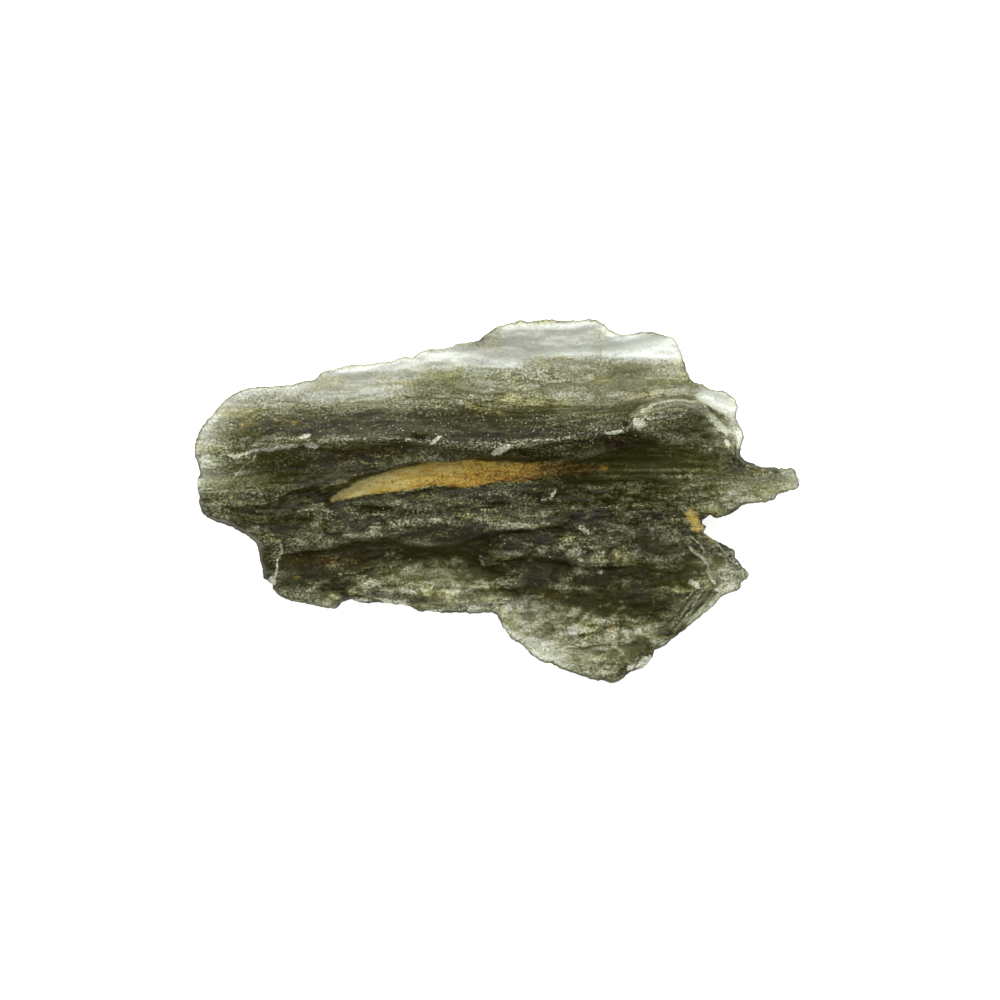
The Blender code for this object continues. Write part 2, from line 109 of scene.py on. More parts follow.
NOTCH_AND_POINT: Path = (
    (8.16, -0.76), (8.28, -1.00), (8.20, -1.24), (8.60, -1.48), (9.36, -1.92),
    (9.52, -2.24), (9.76, -2.56), (10.00, -2.88), (9.72, -3.24), (9.60, -3.48),
    (9.00, -3.80), (8.24, -4.52), (7.24, -5.24), (6.68, -5.72), (6.28, -5.96),
)
LOWER_TIP: Path = (
    (6.12, -6.28), (5.80, -6.64), (5.28, -6.80), (4.96, -7.08), (4.44, -7.24),
    (4.04, -7.12), (3.12, -6.88), (2.12, -6.48), (1.72, -6.40), (1.32, -6.04),
    (0.92, -5.64), (0.52, -5.40), (0.24, -5.04), (0.04, -4.56),
)
LOWER_EDGE: Path = (
    (-0.16, -4.44), (-1.08, -4.44), (-1.68, -4.40), (-2.36, -4.44), (-3.16, -4.32),
    (-3.48, -4.16), (-4.48, -4.04), (-5.28, -4.04), (-5.80, -3.92), (-6.12, -4.00),
    (-6.28, -4.20), (-6.64, -4.24), (-7.40, -4.12), (-7.96, -4.00), (-8.60, -3.76),
    (-8.88, -3.48),
)
LEFT_BREAK: Path = (
    (-8.88, -3.28), (-9.24, -3.04), (-9.40, -2.60), (-9.40, -2.24), (-9.60, -1.64),
    (-9.84, -1.40), (-10.28, -1.16), (-11.16, -0.80), (-11.72, -0.40), (-11.80, 0.12),
    (-11.92, 0.64), (-11.84, 1.12), (-11.92, 1.52),
)
OUTLINE: Path = (
    LEFT_SHOULDER + UPPER_FLANGE + CLEAR_LOBE + SPIKE
    + NOTCH_AND_POINT + LOWER_TIP + LOWER_EDGE + LEFT_BREAK
)

# How thick the glass is, as (x, y, thickness), zone by zone
PALE_SHOULDER = (
    (-11.68, 2.60, 0.45), (-11.00, 3.32, 0.6), (-10.08, 3.96, 0.7), (-8.28, 4.20, 0.6),
    (-6.28, 4.28, 0.5), (-4.08, 4.40, 0.55), (-2.88, 4.52, 1.1), (-11.48, 1.56, 1.0),
    (-11.28, 0.84, 0.8), (-10.60, 2.44, 1.4),
)
CLEAR_FLANGE = (
    (-6.68, 5.00, 0.4), (-3.88, 5.28, 0.3), (-1.88, 5.60, 0.3), (0.52, 5.60, 0.4),
    (0.32, 6.52, 0.7), (1.72, 6.44, 0.8), (3.32, 6.52, 0.7), (4.92, 6.20, 0.3),
    (6.72, 6.20, 0.3),
)
OLIVE_BAND = (
    (-1.88, 4.76, 1.3), (0.12, 4.64, 1.2), (2.52, 4.72, 1.1), (4.92, 4.80, 1.1),
    (6.72, 4.92, 1.1), (0.12, 3.96, 1.5), (4.12, 3.96, 1.2), (5.72, 4.16, 1.1),
    (7.12, 4.36, 1.1),
)
DARK_BAND = (
    (-9.28, 2.92, 2.6), (-7.88, 3.04, 2.7), (-5.48, 3.16, 3.1), (-2.68, 3.24, 3.3),
    (0.12, 3.08, 3.7), (2.52, 3.16, 3.8), (4.12, 3.32, 4.0),
)
CREST = (
    (-9.68, 2.04, 3.0), (-7.88, 2.32, 4.0), (-3.88, 2.44, 4.6), (0.12, 2.20, 5.0),
    (2.52, 2.52, 4.9), (4.52, 2.72, 4.7), (5.72, 3.56, 3.9), (7.72, 3.72, 3.1),
)
BELOW_CREST = (
    (-7.88, 1.04, 4.0), (-5.48, 1.56, 4.3), (-2.68, 1.84, 4.6), (-9.88, 0.44, 3.4),
    (-10.88, 0.04, 2.8), (-7.88, 0.04, 3.8), (-3.08, 0.36, 4.4), (0.92, 0.56, 4.6),
)
GREY_PLATEAU = (
    (-7.88, -1.08, 3.9), (-5.88, -0.84, 4.0), (-3.08, -0.44, 4.4), (-0.28, -0.56, 4.5),
    (2.52, 0.04, 4.4), (-9.88, -0.68, 2.6), (0.92, -1.76, 4.2), (4.12, -1.88, 4.2),
    (6.52, -1.88, 3.8),
)
RIGHT_SIDE = (
    (6.52, 2.44, 4.0), (5.72, 1.24, 2.3), (8.12, 1.24, 2.8), (8.92, 2.24, 2.4),
    (10.12, 0.64, 1.5), (11.32, 0.84, 1.4), (11.80, 0.84, 0.9), (8.12, -0.28, 1.1),
    (9.12, -0.16, 1.1), (4.92, 0.04, 4.2), (6.72, -0.36, 3.8), (8.72, 3.96, 0.3),
    (9.16, 3.32, 0.8), (9.52, 2.52, 0.9),
)
LOWER_SIDE = (
    (-9.00, -2.36, 2.8), (-7.88, -2.68, 3.4), (-7.48, -3.48, 1.7), (-4.68, -2.56, 2.1),
    (-4.68, -3.48, 1.9), (-1.88, -3.56, 1.5), (-0.28, -3.64, 1.6), (-2.28, -2.68, 1.3),
    (1.72, -3.96, 1.4), (4.12, -4.16, 2.5), (6.12, -3.76, 3.2), (1.32, -3.24, 3.2),
    (4.12, -5.96, 1.1), (1.92, -5.88, 0.5), (4.52, -6.76, 1.4), (5.72, -6.16, 1.6),
    (3.12, -4.96, 1.4), (8.12, -2.36, 1.9), (8.92, -2.44, 1.5), (9.72, -2.92, 0.9),
    (7.72, -3.96, 2.4), (8.32, -4.04, 1.2),
)
THICKNESS_SPOTS = (
    PALE_SHOULDER + CLEAR_FLANGE + OLIVE_BAND + DARK_BAND + CREST
    + BELOW_CREST + GREY_PLATEAU + RIGHT_SIDE + LOWER_SIDE
)

def smooth_step(t: np.ndarray) -> np.ndarray:
    """Eases from 0 to 1 as t does, and stays level outside that range."""
    t = np.clip(t, 0, 1)
    return t * t * (3 - 2 * t)


def corner_value(column: np.ndarray, row: np.ndarray, seed: int) -> np.ndarray:
    """A fixed pseudo-random number for each corner of a square lattice.

    Args:
        column, row: Which corners.
        seed: Which set of numbers it is.

    Returns:
        The numbers, from -1 to 1.
    """
    by_column, by_row, by_seed, by_mix = HASH_FACTORS
    mixed = column.astype(np.int64) * by_column + row.astype(np.int64) * by_row
    mixed = (mixed + seed * by_seed) & 0xFFFFFFFF
    mixed = ((mixed ^ (mixed >> 13)) * by_mix) & 0xFFFFFFFF
    return ((mixed ^ (mixed >> 16)) & 0xFFFF) / 32767.5 - 1


def lattice_noise(u: np.ndarray, v: np.ndarray, seed: int) -> np.ndarray:
    """Smooth noise, with about one bump to each unit of u and v.

    Args:
        u, v: The places.
        seed: Which noise it is.

    Returns:
        The noise, from -1 to 1.
    """
    column, row = np.floor(u), np.floor(v)
    right, up = (t**3 * (t * (t * 6 - 15) + 10) for t in (u - column, v - row))
    low, high = (
        corner_value(column, row + k, seed) * (1 - right)
        + corner_value(column + 1, row + k, seed) * right
        for k in (0, 1)
    )
    return low * (1 - up) + high * up


def layered_noise(
    u: np.ndarray, v: np.ndarray, seed: int, layers: int = 3, gain: float = 0.6
) -> np.ndarray:
    """Noise with finer and weaker copies of itself added.

    Args:
        u, v: Places, in units of the coarsest bump.
        seed: Which noise it is.
        layers: How many copies there are, each twice as fine as the last.
        gain: How strong a copy is beside the one before.

    Returns:
        One value for each place.
    """
    return sum(gain**k * lattice_noise(u * 2**k, v * 2**k, seed + k) for k in range(layers))


def grain_flow(x: np.ndarray, y: np.ndarray) -> np.ndarray:
    """How far across the grain each place is. The grain climbs a little and wavers."""
    return y - GRAIN_SLOPE * x + GRAIN_WAVER * np.sin(x * GRAIN_BENDS)


def inward_normals(points: np.ndarray) -> np.ndarray:
    """Directions that point into an outline.

    Args:
        points: The outline's points, clockwise.

    Returns:
        A unit vector for each point.
    """
    tangent = np.roll(points, -1, 0) - np.roll(points, 1, 0)
    tangent /= np.linalg.norm(tangent, axis=1)[:, None]
    return np.stack([tangent[:, 1], -tangent[:, 0]], 1)


def smooth_closed_curve(corners: Path, step: float, pull: float = 0.4) -> np.ndarray:
    """Points on a smooth closed curve through corners.

    Args:
        corners: What the curve runs through.
        step: About how far apart the points are.
        pull: How strongly a corner's neighbours turn the curve there.

    Returns:
        The points, from the first corner round.
    """
    points = np.asarray(corners, float)
    count = len(points)
    pieces = []
    for i in range(count):
        before, start = points[i - 1], points[i]
        end, after = points[(i + 1) % count], points[(i + 2) % count]
        parts = max(1, round(float(np.linalg.norm(end - start)) / step))
        t = (np.arange(parts) / parts)[:, None]
        pull_start, pull_end = pull * (end - before), pull * (after - start)
        pieces.append(
            (2 * t**3 - 3 * t**2 + 1) * start + (t**3 - 2 * t**2 + t) * pull_start
            + (3 * t**2 - 2 * t**3) * end + (t**3 - t**2) * pull_end
        )
    return np.concatenate(pieces)


def beside_segment(
    x: np.ndarray, y: np.ndarray, start: Point, end: Point
) -> tuple[np.ndarray, np.ndarray]:
    """Where each place lies beside a straight segment.

    Args:
        x, y: The places.
        start, end: The segment's ends.

    Returns:
        Distance from the segment, and how far along it the nearest point is.
    """
    (ax, ay), (bx, by) = start, end
    length = math.hypot(bx - ax, by - ay)
    ux, uy = (bx - ax) / length, (by - ay) / length
    t = np.clip((x - ax) * ux + (y - ay) * uy, 0, length)
    return np.hypot(x - ax - t * ux, y - ay - t * uy), t


def distance_inside(x: np.ndarray, y: np.ndarray, outline: np.ndarray) -> np.ndarray:
    """Where each place lies inside an outline.

    Args:
        x, y: The places.
        outline: The outline's points.

    Returns:
        Distance to the outline, negative outside it.
    """
    nearest = np.full(x.shape, np.inf)
    inside = np.zeros(x.shape, bool)
    for start, end in zip(outline, np.roll(outline, -1, 0)):
        nearest = np.minimum(nearest, beside_segment(x, y, start, end)[0])
        (ax, ay), (bx, by) = start, end
        if ay != by:
            spans = (ay > y) != (by > y)
            inside ^= spans & (x < ax + (y - ay) / (by - ay) * (bx - ax))
    return np.where(inside, nearest, -nearest)


def along_path(path: Path, x: np.ndarray, y: np.ndarray) -> tuple[np.ndarray, np.ndarray]:
    """Where each place lies beside a path.

    Args:
        path: Corners of the path.
        x, y: The places.

    Returns:
        Distance from the path, positive on its left, and how far along it, from 0 to 1.
    """
    nearest = np.full(x.shape, np.inf)
    side = np.ones(x.shape)
    reached = np.zeros(x.shape)
    passed = 0.0
    for start, end in zip(path, path[1:]):
        (ax, ay), (bx, by) = start, end
        distance, t = beside_segment(x, y, start, end)
        closer = distance < nearest
        nearest = np.where(closer, distance, nearest)
        left = np.sign((bx - ax) * (y - ay) - (by - ay) * (x - ax))
        side = np.where(closer, left, side)
        reached = np.where(closer, passed + t, reached)
        passed += math.dist(start, end)
    return nearest * side, reached / passed


def taper(share: np.ndarray, ends: float) -> np.ndarray:
    """1 along the middle of a path, falling smoothly to 0 over each end."""
    return smooth_step(np.minimum(share, 1 - share) / ends)


@dataclass(frozen=True)
class Ledge:
    """A step in the upper face, high on the left of its path."""

    height: float
    sharpness: float
    reach: float
    path: Path
    ends: float = 0.12

    def lift(self, x: np.ndarray, y: np.ndarray) -> np.ndarray:
        """The ledge's effect on the upper face.

        Args:
            x, y: The places.

        Returns:
            Height that it adds at each place.
        """
        d, share = along_path(self.path, x, y)
        step = self.height / 2 * np.tanh(d / self.sharpness)
        return step * np.exp(-np.abs(d) / self.reach) * taper(share, self.ends)


@dataclass(frozen=True)
class Line:
    """A mark along a path on the upper face, strongest on the path."""

    strength: float
    half_width: float
    path: Path
    ends: float = 0.2

    def amount(self, x: np.ndarray, y: np.ndarray) -> np.ndarray:
        """How strong the mark is at each place."""
        d, share = along_path(self.path, x, y)
        return self.strength * self.profile(d, x, y) * taper(share, self.ends)

    def profile(self, d: np.ndarray, x: np.ndarray, y: np.ndarray) -> np.ndarray:
        """The mark's share of its strength at places that lie a distance d from its path."""
        return np.exp(-((d / self.half_width) ** 2))


@dataclass(frozen=True)
class Furrow(Line):
    """A groove in the upper face. Its strength is its depth."""

    ends: float = 0.25

    def lift(self, x: np.ndarray, y: np.ndarray) -> np.ndarray:
        """Height that the furrow takes away at each place, as a negative number."""
        return -self.amount(x, y)


class Tone(Enum):
    """Tones of the clay and iron stain left in the furrows, from pale to dark. The darkest is not
    clay but painted shade in pits and gaps.
    """

    CREAM = 0.05
    HONEY = 0.22
    OCHRE = 0.35
    BROWN = 0.85
    # Painted shade in pits and gaps
    PIT_SHADE = 1.0


@dataclass(frozen=True)
class Stain(Line):
    """Clay and iron left along a line on the upper face. With the darkest tone it is painted
    shade in a pit or gap.
    """

    tone: Tone = field(kw_only=True)


@dataclass(frozen=True)
class Crack(Line):
    """A fine white line of crushed glass. Along the crest's edge the line is a painted highlight.
    """

    ends: float = 0.12
    wander: float = 0.07
    bends_per_mm: float = 3.0

    def profile(self, d: np.ndarray, x: np.ndarray, y: np.ndarray) -> np.ndarray:
        """The line's share of its strength. It wanders a little off its path."""
        bends = lattice_noise(x * self.bends_per_mm, y * self.bends_per_mm, 95)
        return super().profile(d + self.wander * bends, x, y)


@dataclass(frozen=True)
class Bloom(Line):
    """A strip of the skin that is frosted white, with a faint blue cast."""

    ends: float = 0.15
    reach: float = 1.15
    softness: float = 0.35

    def profile(self, d: np.ndarray, x: np.ndarray, y: np.ndarray) -> np.ndarray:
        """The frost's share of its strength, level across most of the strip."""
        return smooth_step((self.reach - np.abs(d) / self.half_width) / self.softness)


@dataclass(frozen=True)
class Oval:
    """A turned oval on the upper face, given by its middle and its two radii."""

    x: float
    y: float
    long: float
    short: float

    def reach(self, x: np.ndarray, y: np.ndarray, turn: float) -> np.ndarray:
        """How far out in the oval each place is.

        Args:
            x, y: The places.
            turn: How far the oval is turned, counter-clockwise, in radians.

        Returns:
            0 in the middle and 1 at the oval's edge.
        """
        cosine, sine = math.cos(turn), math.sin(turn)
        dx, dy = x - self.x, y - self.y
        along, across = dx * cosine + dy * sine, dy * cosine - dx * sine
        return np.hypot(along / self.long, across / self.short)


@dataclass(frozen=True)
class Chip(Oval):
    """A small shell-shaped scar where a flake came off, whitened by crushed glass."""

    depth: float
    turn: float = 0.0
    frost: float = 1.0
    frost_reach: float = 1.25
    frost_softness: float = 0.8

    def lift(self, x: np.ndarray, y: np.ndarray) -> np.ndarray:
        """Height that the scar takes away at each place, as a negative number."""
        return -self.depth * np.sqrt(np.clip(1 - self.reach(x, y, self.turn) ** 2, 0, 1))

    def whiteness(self, x: np.ndarray, y: np.ndarray) -> np.ndarray:
        """How much crushed glass there is at each place, from 0 to 1."""
        inwards = self.frost_reach - self.reach(x, y, self.turn)
        return self.frost * smooth_step(inwards / self.frost_softness)


@dataclass(frozen=True)
class Shade(Oval):
    """A soft oval where the etched skin is paler, or with a negative strength darker."""

    strength: float
    turn: float = 0.0
    edge: float = 1.3
    softness: float = 0.7

    def amount(self, x: np.ndarray, y: np.ndarray) -> np.ndarray:
        """What the oval adds at each place."""
        inwards = self.edge - self.reach(x, y, self.turn)
        return self.strength * smooth_step(inwards / self.softness)


@dataclass(frozen=True)
class StainedHollow:
    """The spindle-shaped hollow below the crest, with clay left in it.

    Its tones and strengths are given along the stone, as pairs of x and a value, and so is
    its middle line.
    """

    edge: Path
    depth: float
    bank: float
    tones: Path
    strengths: Path
    middle: Path
    edge_step: float = 0.2
    bank_start: float = 0.25
    fringe: float = 0.26
    fringe_start: float = 0.35
    darker_downhill: float = 0.30

    def inset(self, x: np.ndarray, y: np.ndarray) -> np.ndarray:
        """Distance of each place inside the hollow's edge."""
        return distance_inside(x, y, smooth_closed_curve(self.edge, self.edge_step))

    def lift(self, x: np.ndarray, y: np.ndarray) -> np.ndarray:
        """Height that the hollow takes away at each place, as a negative number."""
        return -self.depth * smooth_step(self.inset(x, y) / self.bank + self.bank_start)

    def amount(self, x: np.ndarray, y: np.ndarray) -> np.ndarray:
        """How much clay there is at each place."""
        full = np.interp(x, *np.array(self.strengths).T)
        return full * smooth_step(self.inset(x, y) / self.fringe + self.fringe_start)

    def tone(self, x: np.ndarray, y: np.ndarray) -> np.ndarray:
        """The clay's tone at each place, which darkens along the stone and downhill."""
        downhill = np.interp(x, *np.array(self.middle).T) - y
        return np.interp(x, *np.array(self.tones).T) + self.darker_downhill * downhill


@dataclass(frozen=True)
class StriatedStrip:
    """A broken face with fine parallel ribs along its path."""

    half_width: float
    rib_spacing: float
    rib_height: float
    path: Path
    wander: float = 0.05
    bends_per_mm: float = 2.0
    edge: float = 1.2
    softness: float = 0.3
    ends: float = 0.15

    def inside(self, x: np.ndarray, y: np.ndarray) -> tuple[np.ndarray, np.ndarray]:
        """The strip and its ribs at each place.

        Args:
            x, y: The places.

        Returns:
            How far each place belongs to the strip, and the height of its rib, from -1 to 1.
        """
        d, share = along_path(self.path, x, y)
        bends = lattice_noise(x * self.bends_per_mm, y * self.bends_per_mm, 91)
        ribs = np.sin((d + self.wander * bends) * math.tau / self.rib_spacing)
        band = smooth_step((self.edge - np.abs(d) / self.half_width) / self.softness)
        return band * taper(share, self.ends), ribs

    def lift(self, x: np.ndarray, y: np.ndarray) -> np.ndarray:
        """Height that the ribs add at each place."""
        amount, ribs = self.inside(x, y)
        return self.rib_height * amount * ribs


LEDGES = (
    # Foot of the clear flange
    Ledge(0.5, 0.06, 0.6, (
        (7.40, 5.76), (5.72, 5.64), (4.12, 5.72), (2.52, 5.76), (0.92, 5.56), (0.72, 5.28),
        (-1.48, 5.20), (-2.28, 5.04), (-2.88, 4.88), (-3.88, 4.80), (-5.48, 4.76), (-7.00, 4.72),
    )),
    # Foot of the pale shoulder
    Ledge(0.4, 0.10, 0.6, (
        (-0.68, 4.20), (-2.68, 4.12), (-4.68, 3.84), (-6.28, 3.68), (-7.88, 3.72),
        (-9.40, 3.56), (-9.96, 3.00), (-11.28, 2.44),
    )),
    # The crest
    Ledge(0.7, 0.16, 0.9, (
        (-10.68, 0.76), (-10.08, 1.40), (-9.56, 1.92), (-7.88, 2.16), (-5.88, 2.28),
        (-3.88, 2.32), (-1.88, 2.12), (0.12, 1.92), (2.52, 2.32), (4.12, 2.56),
        (5.52, 2.68), (6.52, 2.20), (8.12, 1.96),
    )),
    # The hump at the right end of the crest
    Ledge(0.7, 0.12, 0.7, (
        (9.64, 2.44), (9.00, 2.92), (8.44, 3.56), (8.04, 3.96), (6.52, 4.04),
        (5.72, 3.88), (5.32, 3.40), (4.84, 2.76),
    )),
    # Overhanging lip of the stained groove
    Ledge(0.5, 0.10, 0.5, (
        (-7.88, 0.04), (-6.28, 0.48), (-5.08, 1.00), (-3.88, 1.32), (-2.28, 1.60),
        (0.12, 1.68), (2.52, 1.68), (4.92, 1.68), (8.12, 1.64),
    )),
    # Edge of the grey plateau
    Ledge(0.9, 0.14, 0.8, (
        (-8.88, -2.20), (-7.48, -2.00), (-6.28, -1.76), (-5.08, -1.60), (-3.88, -1.60),
        (-2.68, -1.88), (-1.68, -1.76), (-0.68, -1.48), (0.92, -1.16), (2.52, -0.84),
        (3.52, -0.68),
    )),
    # Edge of the grey tongue
    Ledge(0.9, 0.14, 0.8, (
        (-1.08, -1.88), (-0.52, -2.60), (0.12, -2.36), (1.32, -2.20), (2.52, -2.36),
        (4.12, -2.64), (5.72, -2.64), (7.72, -2.92),
    )),
    # Chipped lower rim
    Ledge(0.5, 0.08, 0.5, (
        (-6.08, -3.64), (-3.88, -3.64), (-2.88, -3.96), (-2.28, -4.20), (-1.08, -4.08),
        (0.00, -4.20),
    )),
)
FURROWS = (
    Furrow(0.30, 0.22, ((4.12, 1.36), (6.52, 1.44), (8.92, 1.52))),
    Furrow(0.30, 0.12, ((2.52, 0.92), (4.92, 0.92), (7.72, 0.88))),
    Furrow(0.25, 0.12, ((-6.28, -0.28), (-5.08, -0.32), (-4.04, -0.36))),
    Furrow(0.20, 0.10, ((-4.08, -0.08), (-2.68, 0.36), (-1.08, 0.76))),
    Furrow(0.20, 0.10, ((-2.28, -0.44), (-0.68, -0.24), (0.92, -0.28))),
    Furrow(0.30, 0.16, ((-8.68, 0.04), (-7.88, 0.28), (-6.88, 0.52))),
    Furrow(0.25, 0.12, ((0.92, 0.16), (2.52, 0.44), (4.52, 0.36))),
    # Edge of the broken face at the right-hand point
    Furrow(0.18, 0.07, ((7.70, -1.20), (8.20, -2.10), (8.50, -2.80), (8.96, -3.36)), 0.1),
    Furrow(0.14, 0.06, ((8.50, -3.44), (9.20, -3.30), (9.80, -3.06)), 0.1),
    # Layers at the lower tip
    Furrow(0.12, 0.05, ((2.50, -5.86), (3.40, -5.90), (4.80, -5.76)), 0.2),
    Furrow(0.12, 0.05, ((2.50, -6.14), (3.40, -6.12), (4.50, -6.10)), 0.2),
    Furrow(0.10, 0.05, ((3.00, -6.38), (3.80, -6.44), (4.60, -6.40)), 0.2),
)
HOLLOW = StainedHollow(
    edge=(
        (-6.72, 0.08), (-6.08, 0.56), (-5.08, 1.00), (-3.88, 1.32), (-2.68, 1.56),
        (-1.08, 1.66), (0.92, 1.60), (2.92, 1.62), (4.16, 1.56), (4.12, 1.10),
        (3.32, 0.98), (2.12, 0.88), (0.92, 0.68), (0.12, 0.72), (-1.08, 0.50),
        (-2.28, 0.56), (-3.48, 0.40), (-4.68, 0.26), (-5.88, 0.04), (-6.60, -0.06),
    ),
    depth=0.34,
    bank=0.42,
    tones=(
        (-6.8, 0.0), (-5.4, 0.04), (-4.0, 0.18), (-2.6, 0.32), (-0.8, 0.40), (1.2, 0.54),
        (2.6, 0.66), (4.2, 0.62),
    ),
    strengths=(
        (-6.8, 0.78), (-5.0, 0.84), (-0.5, 0.82), (1.0, 0.68), (2.4, 0.48), (4.2, 0.54),
    ),
    middle=(
        (-6.6, 0.05), (-5.0, 0.62), (-3.0, 0.98), (-1.0, 1.10), (1.0, 1.15), (4.1, 1.33),
    ),
)
CHIPS = (
    # Two flakes at the left end of the crest
    Chip(-7.62, 2.56, 0.28, 0.10, 0.08, 0.25, 0.80),
    Chip(-7.36, 2.20, 0.36, 0.13, 0.08, -0.1, 0.90),
    # Pit and flake left of the middle
    Chip(-3.00, 2.50, 0.40, 0.20, 0.40, 0.0, 0.0),
    Chip(-2.44, 2.40, 0.34, 0.09, 0.06, 0.7, 0.85),
    Chip(-3.50, 2.46, 0.22, 0.07, 0.05, -0.2, 0.60),
    # Slanting flake in the middle of the crest
    Chip(0.12, 2.00, 0.44, 0.15, 0.08, 0.42, 1.0),
    Chip(0.40, 2.14, 0.18, 0.12, 0.05, 0.9, 0.9),
    # Pit and round flake beside the hump
    Chip(5.10, 3.06, 0.32, 0.22, 0.30, 0.3, 0.0),
    Chip(5.62, 3.08, 0.30, 0.24, 0.08, -0.3, 1.0),
    Chip(4.66, 2.72, 0.42, 0.10, 0.06, 0.12, 1.0),
    # Hook above the grey plateau, and small flakes on the right
    Chip(2.24, 0.30, 0.32, 0.08, 0.05, 1.1, 0.60),
    Chip(1.90, 0.06, 0.24, 0.12, 0.05, 0.2, 0.40),
    Chip(3.44, -1.12, 0.34, 0.14, 0.05, -0.6, 0.55),
    Chip(4.12, -2.82, 0.18, 0.10, 0.04, 0.0, 0.7),
    Chip(3.36, -2.00, 0.30, 0.22, 0.04, 0.3, 0.40),
    Chip(9.30, 0.36, 0.20, 0.10, 0.04, 0.3, 0.7),
    Chip(7.86, -3.30, 0.34, 0.14, 0.06, -0.6, 0.80),
    Chip(-0.60, -2.40, 0.12, 0.34, 0.04, 0.4, 0.40),
    # Lower tip
    Chip(5.84, -6.40, 0.44, 0.20, 0.10, 0.62, 0.90),
    Chip(5.30, -6.62, 0.24, 0.12, 0.05, 0.4, 0.80),
    Chip(1.70, -5.86, 0.90, 0.28, 0.06, -0.62, 0.62),
    Chip(0.40, -5.06, 0.42, 0.10, 0.05, -0.9, 0.70),
    Chip(4.62, -5.12, 0.36, 0.14, 0.05, 0.2, 0.50),
    # Along the lower and the left rim
    Chip(-5.40, -3.92, 0.40, 0.10, 0.04, -0.1, 0.60),
    Chip(-4.40, -3.98, 0.36, 0.09, 0.04, -0.3, 0.75),
    Chip(-3.70, -4.16, 0.30, 0.10, 0.04, -0.5, 0.80),
    Chip(-2.50, -4.36, 0.50, 0.08, 0.04, 0.0, 0.60),
    Chip(-8.90, -3.16, 0.16, 0.22, 0.05, 0.3, 0.80),
    Chip(-11.86, 0.76, 0.10, 0.22, 0.04, 0.0, 0.80),
    Chip(9.14, 2.30, 0.12, 0.20, 0.04, 0.5, 0.90),
    Chip(8.90, -3.40, 0.60, 0.12, 0.05, 0.70, 0.62),
)
CRACKS = (
    Crack(0.75, 0.05, (
        (-9.56, 1.96), (-9.72, 1.64), (-10.04, 1.36), (-10.30, 1.12), (-10.56, 0.84),
    )),
    Crack(0.80, 0.05, (
        (-8.62, -1.60), (-8.50, -2.00), (-8.66, -2.40), (-8.76, -2.80), (-8.90, -3.24),
    )),
    Crack(0.45, 0.04, ((-8.70, -1.70), (-8.76, -2.20), (-8.92, -2.60))),
    # Broken face at the right-hand point
    Crack(0.85, 0.07, (
        (7.52, -1.68), (7.72, -2.00), (8.10, -2.20), (8.36, -2.56), (8.40, -2.96),
        (8.76, -3.40),
    )),
    Crack(0.65, 0.05, ((7.60, -1.30), (7.96, -1.70), (8.16, -1.90), (8.30, -2.30))),
    Crack(0.70, 0.05, ((8.60, -2.12), (9.08, -2.24), (9.20, -2.64), (9.32, -3.12))),
    Crack(0.55, 0.05, ((8.70, -1.60), (8.92, -2.00), (9.30, -2.30), (9.70, -2.60))),
    Crack(0.50, 0.04, ((8.56, -2.60), (8.88, -2.72), (8.92, -3.10))),
    # Striated strip beside it
    Crack(0.55, 0.05, ((8.40, -3.40), (8.00, -3.80), (7.60, -4.40), (7.20, -5.04))),
    Crack(0.45, 0.04, ((8.16, -3.36), (7.76, -3.84), (7.40, -4.44), (7.04, -5.12))),
    Crack(0.45, 0.04, ((7.92, -3.32), (7.52, -3.88), (7.20, -4.48), (6.84, -5.20))),
    # Hump
    Crack(0.6, 0.07, (
        (5.60, 3.28), (5.80, 3.64), (6.24, 3.88), (6.90, 3.98), (7.50, 4.02), (8.12, 3.96),
    )),
    Crack(0.5, 0.05, ((5.72, 3.30), (6.32, 3.28), (6.92, 3.32), (7.40, 3.44), (7.60, 3.70))),
    Crack(0.5, 0.05, ((8.12, 3.96), (8.40, 3.52), (8.76, 3.08), (9.12, 2.80), (9.56, 2.60))),
    Crack(0.4, 0.05, ((8.20, 3.60), (8.52, 3.16), (8.84, 2.80))),
    # Painted highlight along the edge of the crest, drawn as white lines
    Crack(0.72, 0.09, (
        (-11.00, 1.80), (-10.20, 1.84), (-9.56, 1.98), (-8.60, 2.16), (-7.60, 2.28),
    )),
    Crack(0.42, 0.06, (
        (-7.60, 2.40), (-5.88, 2.44), (-3.88, 2.44), (-1.88, 2.30), (0.12, 2.26),
        (2.52, 2.50), (4.12, 2.72), (5.40, 2.96),
    )),
)
STRIP = StriatedStrip(0.42, 0.24, 0.03, (
    (8.50, -3.40), (7.80, -4.20), (7.30, -4.80), (6.90, -5.30),
))
